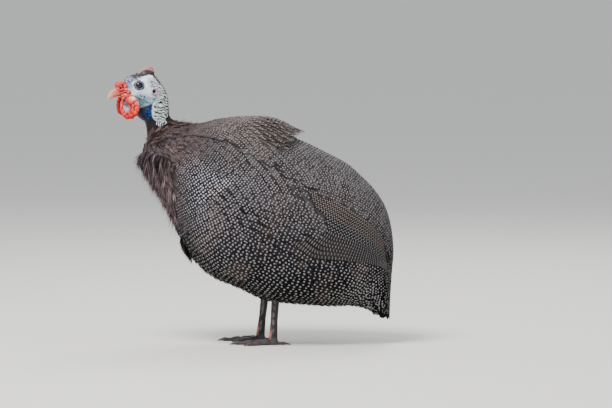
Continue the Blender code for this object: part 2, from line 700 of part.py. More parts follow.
def slab(name, centre, half, work):
    form = bmesh.new()
    bmesh.ops.create_cube(form, size=2.0)
    bmesh.ops.triangulate(form, faces=form.faces)
    points = np.array([vertex.co[:] for vertex in form.verts]) * half + centre
    faces = [[vertex.index for vertex in face.verts] for face in form.faces]
    form.free()
    return mesh_object(name, points, faces, work)


def make_claw(side, toe, parts, work, horn):
    """A blunt claw that carries on from the toe and dips to the floor."""
    path, radii, ahead = toe_path(side, toe)
    start = path[-1] + ahead * TOUCH
    start_radius = radii[-1] * 0.86
    points, thickness = [], []
    for share in np.linspace(0, 1, 5):
        radius = start_radius * (1 - 0.78 * share)
        height = start_radius if share < 0.3 else radius
        height += CLAW_LIFT
        reach = CLAW_LENGTH * share
        points.append((start[0] + ahead[0] * reach, start[1] + ahead[1] * reach, height))
        thickness.append(radius)
    return finish(tube(f"claw_{side}_{toe}", points, thickness, parts, around=5), horn)


def main():
    for thing in list(bpy.data.objects):
        bpy.data.objects.remove(thing, do_unlink=True)
    parts, work = bpy.data.collections.new(NAME), bpy.data.collections.new("cutters")
    for group in (parts, work):
        bpy.context.scene.collection.children.link(group)

    feathers = material("spotted_feather", (0.035, 0.033, 0.036), 0.7)
    ruff = material("ruff_feather", (0.10, 0.08, 0.09), 0.75)
    face = material("face_skin", (0.70, 0.80, 0.84), 0.45)
    wattle = material("wattle_skin", (0.75, 0.07, 0.05), 0.4)
    horn = material("bill_horn", (0.62, 0.33, 0.26), 0.35)
    helmet = material("casque_horn", (0.42, 0.26, 0.22), 0.55)
    scale = material("leg_scale", (0.05, 0.04, 0.04), 0.55)
    claw = material("claw_horn", (0.06, 0.05, 0.045), 0.4)
    gloss = material("eye_gloss", (0.02, 0.012, 0.01), 0.08)

    make_torso(parts, work, feathers)
    make_neck(parts, work, face)
    make_ruff(parts, work, ruff)
    make_tail(parts, work, feathers)
    make_head(parts, work, face)
    make_horn("bill_upper", UPPER_BILL_STATIONS, 10, 10, parts, work, horn)
    make_horn("bill_lower", LOWER_BILL_STATIONS, 7, 8, parts, work, horn)
    make_horn("casque", CASQUE_STATIONS, 9, 14, parts, work, helmet)
    for side in ("left", "right"):
        make_wing(side, parts, work, feathers)
        make_eye(side, parts, gloss)
        make_wattle(side, parts, work, wattle)
        make_leg(side, parts, work, scale)
        make_foot(side, parts, work, scale)
        for toe in TOES:
            make_claw(side, toe, parts, work, claw)


main()
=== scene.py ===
"""The looks of the standing helmeted guinea fowl: skin, feathers, horn, scales, camera and light.

Lengths in the tables are in millimetres, like the driving sizes of the solids, and points become metres only
where a mesh is made. The bird faces -X and its left side is -Y.
"""

import math

import bpy
import numpy as np
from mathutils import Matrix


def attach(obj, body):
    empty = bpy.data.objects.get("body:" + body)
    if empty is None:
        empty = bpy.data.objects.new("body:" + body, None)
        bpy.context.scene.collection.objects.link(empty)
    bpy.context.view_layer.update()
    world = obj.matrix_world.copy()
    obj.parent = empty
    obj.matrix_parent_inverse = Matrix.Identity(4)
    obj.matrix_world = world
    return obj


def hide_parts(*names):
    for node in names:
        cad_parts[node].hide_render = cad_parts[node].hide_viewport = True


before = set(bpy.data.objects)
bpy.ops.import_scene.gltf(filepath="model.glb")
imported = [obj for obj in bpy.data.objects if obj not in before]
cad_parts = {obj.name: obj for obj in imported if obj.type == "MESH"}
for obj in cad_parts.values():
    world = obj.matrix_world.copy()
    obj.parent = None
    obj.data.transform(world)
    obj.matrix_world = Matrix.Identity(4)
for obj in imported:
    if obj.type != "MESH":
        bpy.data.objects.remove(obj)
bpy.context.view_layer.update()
MM = 0.001
RNG = np.random.default_rng(41)

# A station is a slanted section of the body: its under point x z, its back point x z, its half width,
# and its turn in degrees about the upright line through the top of the neck.
NECK_LINE = -128.0
HEAD_TURN = 18.0
HEAD_STATIONS = {
    "bill root": (-163.2, 320.5, -163.2, 342.5, 7.0, HEAD_TURN),
    "lores": (-157.6, 319.2, -156.8, 344.6, 10.4, HEAD_TURN),
    "brow": (-152.8, 317.4, -150.0, 348.2, 13.0, HEAD_TURN),
    "cheek": (-149.4, 315.6, -140.2, 350.8, 14.8, HEAD_TURN),
    "crown": (-147.2, 313.8, -130.0, 350.4, 15.2, HEAD_TURN),
    "hind crown": (-146.1, 312.0, -121.8, 342.8, 14.6, HEAD_TURN),
    "nape": (-145.6, 310.4, -114.4, 333.0, 13.6, HEAD_TURN),
}
TRUNK_STATIONS = {
    "throat top": (-145.45, 308.5, -110.65, 323.4, 12.7, 18),
    "throat bulge": (-146.2, 298.5, -107.8, 309.0, 13.6, 14),
    "throat root": (-139.0, 288.0, -106.8, 297.0, 12.8, 10),
    "mid neck": (-136.5, 276.5, -101.5, 290.6, 14.0, 6),
    "low neck": (-136.5, 262.5, -87.0, 286.5, 22.0, 3),
    "ruff": (-140.0, 249.5, -66.0, 285.5, 38.0, 0),
    "crop": (-139.0, 232.5, -37.0, 292.0, 56.0, 0),
    "high breast": (-130.0, 213.0, -7.0, 294.5, 70.0, 0),
    "shoulder": (-116.5, 192.5, 21.5, 286.5, 80.0, 0),
    "mid breast": (-102.0, 166.5, 48.0, 271.0, 86.5, 0),
    "low breast": (-91.5, 140.5, 77.4, 258.0, 90.5, 0),
    "keel": (-76.0, 113.0, 103.5, 245.0, 92.0, 0),
    "fore belly": (-50.0, 88.5, 125.5, 233.0, 90.0, 0),
    "belly": (-13.5, 72.5, 143.5, 217.0, 85.0, 0),
    "hind belly": (20.0, 57.5, 160.0, 200.0, 78.0, 0),
    "vent": (64.5, 52.0, 173.5, 179.5, 68.0, 0),
    "under tail": (103.5, 49.5, 181.5, 153.5, 56.0, 0),
    "tail root": (129.5, 50.0, 185.0, 122.0, 44.0, 0),
    "mid tail": (147.5, 47.0, 183.0, 93.5, 34.0, 0),
    "tail end": (157.5, 43.0, 181.0, 62.0, 27.0, 0),
    "tail tip": (160.5, 39.4, 180.2, 39.2, 23.0, 0),
}
UPPER_BILL_STATIONS = {
    "in the face": (-160.5, 323.0, -160.5, 339.0, 7.2, HEAD_TURN),
    "under the cere": (-170.5, 322.8, -171.2, 336.8, 5.6, HEAD_TURN),
    "before the cere": (-177.5, 321.9, -178.6, 333.2, 4.3, HEAD_TURN),
    "hook": (-182.8, 319.8, -183.0, 330.0, 3.1, HEAD_TURN),
    "low hook": (-186.4, 318.2, -186.7, 324.8, 1.9, HEAD_TURN),
    "tip": (-188.0, 316.4, -188.1, 318.4, 0.6, HEAD_TURN),
}
LOWER_BILL_STATIONS = {
    "in the face": (-160.5, 318.4, -160.5, 323.0, 6.2, HEAD_TURN),
    "jaw": (-170.5, 320.4, -170.5, 323.4, 4.9, HEAD_TURN),
    "chin": (-178.0, 320.0, -178.6, 322.0, 3.2, HEAD_TURN),
    "lower tip": (-182.8, 319.4, -183.0, 320.6, 1.4, HEAD_TURN),
}
CASQUE_STATIONS = {
    "in the crown": (-152.5, 345.5, -125.6, 345.5, 6.4, HEAD_TURN),
    "foot": (-149.8, 351.5, -124.8, 351.5, 5.3, HEAD_TURN),
    "waist": (-144.6, 356.0, -125.8, 355.6, 4.2, HEAD_TURN),
    "shoulder": (-139.0, 358.9, -127.0, 359.0, 3.1, HEAD_TURN),
    "ridge": (-134.6, 361.1, -129.6, 361.3, 1.7, HEAD_TURN),
}
SQUARENESS = 2.25
BELLY_FULLNESS = 0.07
EYE = {"radius": 5.4, "x": -148.7, "z": 336.2, "proud": 2.0}
EAR = {"x": -128.6, "z": 328.4}
LEGS = {
    "left": {"side": -1, "hock": (34.0, 84.0), "ankle": (29.5, 9.0), "heading": 4.0},
    "right": {"side": 1, "hock": (21.0, 84.0), "ankle": (12.5, 9.0), "heading": -4.0},
}
LEG_SPREAD = 27.0
TOES = {"inner": (34.0, -32.0), "middle": (48.0, -3.0), "outer": (36.0, 27.0), "hind": (15.0, 172.0)}
CLAW_LENGTH = 9.0


def rows_of(stations):
    return np.array(list(stations.values()), float)


TRUNK = rows_of(TRUNK_STATIONS)
BODY = np.concatenate([rows_of(HEAD_STATIONS), TRUNK])
NECK_TOP = len(HEAD_STATIONS)
PLACE = {name: float(place) for place, name in enumerate(TRUNK_STATIONS)}


# Formulas of the body's surface.

def smooth(rows, place):
    """The Catmull-Rom curve through the rows at fractional row numbers, for a whole array of them."""
    place = np.asarray(place, float)
    last = len(rows) - 1
    start = np.clip(np.floor(place).astype(int), 0, last - 1)
    part = (place - start)[..., None]
    first, second = rows[start], rows[start + 1]
    before = np.where((start > 0)[..., None], rows[np.maximum(start - 1, 0)], 2 * first - second)
    after = np.where((start + 2 <= last)[..., None], rows[np.minimum(start + 2, last)], 2 * second - first)
    bend = 2 * before - 5 * first + 4 * second - after
    twist = 3 * (first - second) + after - before
    return first + 0.5 * part * (second - before + part * (bend + part * twist))


def turned_points(points, turn):
    """Points turned about the upright neck line by an angle in degrees, one or one each."""
    turned = np.radians(turn)
    x, y = points[..., 0] - NECK_LINE, points[..., 1]
    return np.stack([
        NECK_LINE + x * np.cos(turned) - y * np.sin(turned),
        x * np.sin(turned) + y * np.cos(turned),
        points[..., 2],
    ], axis=-1)


def surface(rows, place, angle):
    """Points of a lofted body: a superellipse across each slanted section, angle 0 at the back, 90 at the left."""
    place, angle = np.broadcast_arrays(np.asarray(place, float), np.asarray(angle, float))
    under_x, under_z, back_x, back_z, half_width, turn = np.moveaxis(smooth(rows, place), -1, 0)
    cosine, sine = np.cos(np.radians(angle)), np.sin(np.radians(angle))
    along = np.sign(cosine) * np.abs(cosine) ** (2 / SQUARENESS)
    aside = np.sign(sine) * np.abs(sine) ** (2 / SQUARENESS)
    flat = np.stack([
        (under_x + back_x) / 2 + along * (back_x - under_x) / 2,
        -half_width * aside * (1 - BELLY_FULLNESS * along),
        (under_z + back_z) / 2 + along * (back_z - under_z) / 2,
    ], axis=-1)
    return turned_points(flat, turn)


def unit(vectors):
    return vectors / np.maximum(np.linalg.norm(vectors, axis=-1, keepdims=True), 1e-9)


def normals(rows, place, angle):
    """Outward directions: the cross product of the steps to the next section and to the next angle."""
    ahead = surface(rows, place + 0.03, angle) - surface(rows, place - 0.03, angle)
    around = surface(rows, place, angle + 1.5) - surface(rows, place, angle - 1.5)
    normal = unit(np.cross(ahead, around))
    middle = (surface(rows, place, 0) + surface(rows, place, 180)) / 2
    outward = np.sum(normal * (surface(rows, place, angle) - middle), axis=-1, keepdims=True)
    return np.where(outward > 0, normal, -normal)


def bump(distance, width):
    """A round hill of height one: the bell curve of a distance over a width."""
    return np.exp(-(distance / width) ** 2)


def step(value, low, high):
    """Rises smoothly from zero at the low value to one at the high value."""
    share = np.clip((value - low) / (high - low), 0.0, 1.0)
    return share * share * (3 - 2 * share)


def ripple(points, scale, seed=0):
    """Smooth noise between -1 and 1: sines along nine fixed skew directions at a wave length in millimetres."""
    draw = np.random.default_rng(seed)
    total = 0
    for _ in range(9):
        wave = unit(draw.normal(size=3)) * 2 * math.pi / scale * draw.uniform(0.6, 1.6)
        total = total + np.sin(points @ wave + draw.uniform(0, 2 * math.pi))
    return total / 4.5


def head_half_width(x, z):
    """How far the head's side lies from its middle plane at a place in its side view."""
    place, angle = np.meshgrid(np.linspace(0, NECK_TOP, 113), np.linspace(20, 165, 146))
    points = turned_points(surface(BODY, place, angle), -HEAD_TURN)
    nearest = np.argmin((points[..., 0] - x) ** 2 + (points[..., 2] - z) ** 2)
    return -points[..., 1].ravel()[nearest]


# Mesh making.

def mesh_piece(name, points, faces, uv=None, tint=None, finishes=(), marks=None):
    """A mesh object from arrays: points in millimetres, faces of three or four, a colour and a UV per point."""
    mesh = bpy.data.meshes.new(name)
    faces = np.asarray(faces, np.int32)
    mesh.vertices.add(len(points))
    mesh.vertices.foreach_set("co", (np.asarray(points, float) * MM).ravel())
    corners = faces.ravel()
    if faces.shape[1] == 4:
        keep = np.ones(faces.shape, bool)
        keep[:, 3] = faces[:, 3] >= 0
        corners = faces[keep]
        sizes = keep.sum(axis=1)
    else:
        sizes = np.full(len(faces), 3)
    mesh.loops.add(len(corners))
    mesh.loops.foreach_set("vertex_index", corners)
    mesh.polygons.add(len(faces))
    mesh.polygons.foreach_set("loop_start", np.concatenate([[0], np.cumsum(sizes)[:-1]]))
    mesh.polygons.foreach_set("use_smooth", np.ones(len(faces), bool))
    if marks is not None:
        mesh.polygons.foreach_set("material_index", np.asarray(marks, np.int32))
    mesh.update(calc_edges=True)
    mesh.validate()
    if uv is not None:
        layer = mesh.uv_layers.new(name="OFBake")
        layer.data.foreach_set("uv", np.asarray(uv, float)[corners].ravel())
    if tint is not None:
        layer = mesh.color_attributes.new("tint", "FLOAT_COLOR", "POINT")
        layer.data.foreach_set("color", np.concatenate([tint, np.ones((len(tint), 1))], axis=1).ravel())
    for finish in finishes:
        mesh.materials.append(finish)
    made = bpy.data.objects.new(name, mesh)
    bpy.context.scene.collection.objects.link(made)
    return made


def grid_faces(rows, columns, closed=True):
    """Quads between the rows of a grid whose columns may close round on themselves."""
    row, column = np.meshgrid(np.arange(rows - 1), np.arange(columns if closed else columns - 1), indexing="ij")
    beside = (column + 1) % columns
    quads = np.stack([row * columns + column, row * columns + beside,
                      (row + 1) * columns + beside, (row + 1) * columns + column], axis=-1)
    return quads.reshape(-1, 4)


def capped(points, faces, rows, columns):
    """Closes the two ends of a tube's grid with fans round a new middle point."""
    first, last = points[:columns], points[(rows - 1) * columns:rows * columns]
    points = np.concatenate([points, [first.mean(axis=0)], [last.mean(axis=0)]])
    column = np.arange(columns)
    beside = (column + 1) % columns
    hub = rows * columns
    none = np.full(columns, -1)
    near = np.stack([beside, column, np.full(columns, hub), none], axis=-1)
    offset = (rows - 1) * columns
    far = np.stack([offset + column, offset + beside, np.full(columns, hub + 1), none], axis=-1)
    return points, np.concatenate([faces, near, far])


def outward(points, faces):
    """Turns all faces round if the closed shape they make has a negative volume."""
    a, b, c = points[faces[:, 0]], points[faces[:, 1]], points[faces[:, 2]]
    volume = np.sum(a * np.cross(b, c))
    whole = faces[:, 3] >= 0
    volume += np.sum(points[faces[whole, 0]] * np.cross(points[faces[whole, 2]], points[faces[whole, 3]]))
    if volume >= 0:
        return faces
    turned = faces[:, [2, 1, 0, 3]].copy()
    turned[whole] = faces[whole][:, ::-1]
    return turned


def joined(parts):
    """One points array and one faces array out of many, with the face numbers moved on."""
    points, faces, start = [], [], 0
    for part_points, part_faces in parts:
        moved = np.where(part_faces >= 0, part_faces + start, -1)
        points.append(part_points)
        faces.append(moved)
        start += len(part_points)
    return np.concatenate(points), np.concatenate(faces)


def tube(path, radii, around=16, flat=1.0, ripple_of=None):
    """A closed tapered tube: circles square to a path, flattened upright by a share."""
    path, radii = np.asarray(path, float), np.asarray(radii, float)
    ahead = unit(np.gradient(path, axis=0))
    reference = np.where(np.abs(ahead[:, 2:3]) < 0.8, [[0.0, 0.0, 1.0]], [[-1.0, 0.0, 0.0]])
    across = unit(np.cross(ahead, reference))
    upward = np.cross(across, ahead)
    turn = np.linspace(0, 2 * math.pi, around, endpoint=False)
    swell = radii[:, None] * (1.0 if ripple_of is None else ripple_of(np.arange(len(path))[:, None], turn[None, :]))
    ring = np.cos(turn)[None, :, None] * across[:, None] + flat * np.sin(turn)[None, :, None] * upward[:, None]
    points = (path[:, None] + swell[..., None] * ring).reshape(-1, 3)
    points, faces = capped(points, grid_faces(len(path), around), len(path), around)
    return points, outward(points, faces)


def ellipsoid(centre, radii, rows=12, columns=20):
    """A closed ball stretched to three radii."""
    rise, turn = np.meshgrid(np.linspace(-1.5, 1.5, rows), np.linspace(0, 2 * math.pi, columns, endpoint=False),
                             indexing="ij")
    points = np.stack([np.cos(rise) * np.cos(turn), np.cos(rise) * np.sin(turn), np.sin(rise)], axis=-1)
    points = points.reshape(-1, 3) * radii + centre
    points, faces = capped(points, grid_faces(rows, columns), rows, columns)
    return points, outward(points, faces)


# Materials.

def srgb(red, green, blue):
    """A colour as a screen shows it, 0 to 255, made linear."""
    return tuple(((value / 255 + 0.055) / 1.055) ** 2.4 if value > 10 else value / 3294 for value in (red, green, blue))


class Value:
    """A socket in a material: arithmetic on it adds Math nodes."""

    def __init__(self, finish, socket):
        self.finish, self.socket = finish, socket

    def maths(self, operation, *values):
        return self.finish.node("Math", {"operation": operation}, dict(enumerate(values)))

    def __add__(self, other):
        return self.maths("ADD", self, other)

    def __sub__(self, other):
        return self.maths("SUBTRACT", self, other)

    def __rsub__(self, other):
        return self.maths("SUBTRACT", other, self)

    def __mul__(self, other):
        return self.maths("MULTIPLY", self, other)

    def __pow__(self, other):
        return self.maths("POWER", self, other)

    def clipped(self):
        return self.finish.node("Clamp", {}, {0: self})

    __radd__ = __add__
    __rmul__ = __mul__


class Finish:
    """One material: its Principled shader, and one method that adds any other node."""

    def __init__(self, name, colour, roughness, **constants):
        self.material = bpy.data.materials.new(name)
        self.material.use_nodes = True
        self.tree = self.material.node_tree
        self.shader = self.tree.nodes["Principled BSDF"]
        self.shader.inputs["Base Color"].default_value = (*colour, 1.0)
        self.shader.inputs["Roughness"].default_value = roughness
        for socket, value in constants.items():
            self.shader.inputs[socket.replace("_", " ")].default_value = value

    def node(self, kind, settings, sockets, output=0):
        made = self.tree.nodes.new("ShaderNode" + kind)
        for name, value in settings.items():
            if name == "stops":
                ramp = made.color_ramp
                while len(ramp.elements) < len(value):
                    ramp.elements.new(0.5)
                for element, (place, colour) in zip(ramp.elements, value):
                    element.position = place
                    element.color = (*colour, 1.0)
            else:
                setattr(made, name, value)
        for key, value in sockets.items():
            self.feed(made.inputs[key], value)
        return Value(self, made.outputs[output])

    def feed(self, socket, value):
        if isinstance(value, Value):
            self.tree.links.new(value.socket, socket)
        else:
            socket.default_value = (*value, 1.0) if socket.type == "RGBA" and len(value) == 3 else value

    def place(self):
        return self.node("TexCoord", {}, {}, "Object")

    def tint(self):
        return self.node("Attribute", {"attribute_name": "tint"}, {}, "Color")

    def noise(self, scale, detail=3.0, stretch=(1.0, 1.0, 1.0)):
        place = self.node("Mapping", {}, {"Vector": self.place(), "Scale": stretch})
        return self.node("TexNoise", {}, {"Vector": place, "Scale": scale, "Detail": detail})

    def cells(self, scale, feature="F1"):
        return self.node("TexVoronoi", {"feature": feature}, {"Vector": self.place(), "Scale": scale})

    def mix(self, share, first, second, mode="MIX"):
        return self.node("Mix", {"data_type": "RGBA", "blend_type": mode}, {0: share, 6: first, 7: second}, 2)

    def colour(self, value):
        self.feed(self.shader.inputs["Base Color"], value)

    def roughness(self, value):
        self.feed(self.shader.inputs["Roughness"], value)

    def bump(self, height, depth, strength=1.0):
        """Raises the surface by a height map whose full swing is a depth in millimetres."""
        made = self.node("Bump", {}, {"Height": height, "Distance": depth * MM, "Strength": strength})
        self.feed(self.shader.inputs["Normal"], made)


def skin_finish():
    finish = Finish("face and body skin", srgb(225, 235, 240), 0.5, Subsurface_Weight=0.06, Subsurface_Scale=0.003,
                    Specular_IOR_Level=0.2)
    grain = finish.noise(900.0, 4.0)
    pores = finish.cells(700.0)
    finish.colour(finish.mix(grain * 0.2, finish.tint(), finish.mix(0.6, finish.tint(), (0.0, 0.0, 0.0))))
    finish.roughness(0.42 + grain * 0.25)
    finish.bump(pores * 0.6 + grain, 0.25, 0.8)
    return finish.material


def flesh_finish():
    finish = Finish("wattle and cere flesh", srgb(225, 70, 60), 0.4, Subsurface_Weight=0.08, Subsurface_Scale=0.003,
                    Specular_IOR_Level=0.3)
    grain = finish.noise(700.0, 4.0)
    finish.colour(finish.mix(grain * 0.3, finish.tint(), finish.mix(0.6, finish.tint(), srgb(120, 10, 20))))
    finish.roughness(0.3 + grain * 0.25)
    finish.bump(finish.cells(850.0) * 0.7 + grain, 0.3, 0.8)
    return finish.material


def horn_finish(name):
    finish = Finish(name, srgb(200, 160, 140), 0.35)
    growth = finish.noise(500.0, 5.0, (0.3, 1.0, 1.6))
    finish.colour(finish.mix(growth * 0.5, finish.tint(), finish.mix(0.6, finish.tint(), srgb(70, 35, 30))))
    finish.roughness(0.28 + growth * 0.3)
    finish.bump(growth, 0.2, 0.7)
    return finish.material


def vane_finish(name, roughness=0.75, sheen=0.0):
    """Feather vanes: their own tint, and fine barbs as streaks in it."""
    finish = Finish(name, srgb(45, 43, 45), roughness, Specular_IOR_Level=0.06)
    speckle = finish.noise(1100.0, 3.0)
    finish.colour(finish.mix((speckle * 1.6 - 0.35).clipped(), finish.mix(0.35, finish.tint(), (0.0, 0.0, 0.0)),
                             finish.mix(0.006, finish.tint(), (1.0, 1.0, 1.0))))
    finish.bump(finish.noise(1600.0, 2.0), 0.25, 0.8)
    return finish.material


def pearl_finish(name, colour):
    return Finish(name, srgb(*colour), 0.8, Specular_IOR_Level=0.1).material


def scale_finish():
    finish = Finish("leg scales", srgb(60, 50, 50), 0.45, Specular_IOR_Level=0.25)
    grain = finish.noise(600.0, 4.0)
    finish.colour(finish.mix(grain * 0.5, finish.tint(), finish.mix(0.5, finish.tint(), (0.0, 0.0, 0.0))))
    finish.roughness(0.35 + grain * 0.3)
    finish.bump(finish.cells(450.0) + grain * 0.5, 0.3, 0.8)
    return finish.material


def eye_finish():
    finish = Finish("eye", (0.02, 0.012, 0.01), 0.06, Coat_Weight=0.5, Coat_Roughness=0.02, Specular_IOR_Level=0.25)
    finish.colour(finish.tint())
    return finish.material


# The skin, one surface from the bill's root to the tail's end.

COAT_START, COAT_FULL, COAT_DEPTH = 2.5, 3.8, 3.6
FLAP_PLACES, FLAP_LOW, FLAP_HIGH = (-0.5, 0.3, 2.4), (20.0, 28.0, 36.0), (80.0, 94.0, 108.0)


def flap_creases(side_view):
    """Creases across the flap, one at each turn of a wavy height: zero in a crease, one between two."""
    x, z = side_view[..., 0], side_view[..., 2]
    wavy = z + 0.9 * np.sin(0.62 * x + 0.21 * z) + 0.45 * (x + 120.0)
    wavy = wavy + 2.4 * ripple(side_view, 15.0, 61) + 0.9 * ripple(side_view, 5.0, 62)
    return np.abs(np.sin(math.pi * wavy / 4.1))


def flap_hem(aside):
    """How far down the neck the flap hangs, by the angle from the nape."""
    return np.interp(aside, (20.0, 40.0, 70.0, 85.0, 100.0, 110.0), (1.9, 2.15, 2.5, 2.5, 2.05, 1.45))


def flap_share(aside, neck_place, margin=0.0):
    """One over the wrinkled flap behind the cheek, falling to zero round its hem."""
    low, high = (np.interp(neck_place, FLAP_PLACES, limits) for limits in (FLAP_LOW, FLAP_HIGH))
    inside = step(aside, low - 4 - margin, low + 5) * step(-aside, -high - 4, -high + 7)
    return inside * step(neck_place, -0.5, 0.2) * step(flap_hem(aside) - neck_place, -0.05, 0.15)


def skin_height(place, angle, points):
    """How far the skin stands off the plain loft: folds, lids and hollows on the bare parts, sunk under the coat."""
    side_view = turned_points(points, -HEAD_TURN)
    x, z = side_view[..., 0], side_view[..., 2]
    aside = np.minimum(angle % 360, 360 - angle % 360)
    neck_place = place - NECK_TOP
    head = step(-neck_place, -0.6, 0.2)
    from_eye = np.hypot(x - EYE["x"], (z - EYE["z"]) * 1.1)
    height = head * 1.9 * bump(from_eye - 4.7, 1.0)
    below_eye = step(EYE["z"] - z + 2.0, 0.0, 4.0)
    height += head * (0.8 * bump(from_eye - 7.2, 0.8) + 0.8 * below_eye * bump(from_eye - 9.4, 0.8))
    height += head * 1.0 * bump(np.hypot(x + 150.0, z - 346.0), 5.0)
    over_brow = step(z - 0.55 * (x + 163.0), 336.0, 341.0) * bump((x + 158.5) / 8.5, 1.0)
    height += over_brow * (4.2 + 0.6 * ripple(points, 3.0, 6))
    from_ear = np.hypot(x - EAR["x"], z - EAR["z"])
    height -= head * 3.0 * bump(from_ear, 2.1)
    height += head * 1.0 * bump(from_ear - 3.9, 1.0)
    cheek_folds = np.sin(0.95 * z + 0.35 * x + 1.2 * np.sin(0.22 * x))
    height += head * 0.35 * cheek_folds * step(EYE["z"] - 7.0 - z, 0.0, 6.0)
    height += 0.5 * flap_creases(side_view) * head * step(x, -137.0, -128.0) * step(-z, -338.0, -332.0)
    height += flap_share(aside, neck_place) * (0.6 + 2.1 * flap_creases(side_view) ** 0.7)
    pouch = step(aside, 90.0, 116.0) * bump((z - 301.5) / 8.5, 1.0) * step(z, 289.5, 294.5)
    height += pouch * (1.9 + 0.5 * ripple(points, 6.0, 3))
    throat = step(aside, 104.0, 126.0)
    height -= 1.6 * throat * step(neck_place, 0.0, 0.5) * step(-z, -291.5, -288.0)
    bare = 1 - step(neck_place - 1.3 * throat, COAT_START, COAT_FULL)
    depth = COAT_DEPTH + 3.0 * step(neck_place, 18.6, 20.0)
    return height + 0.12 * bare * ripple(points, 2.4, 5) - depth * (1 - bare)


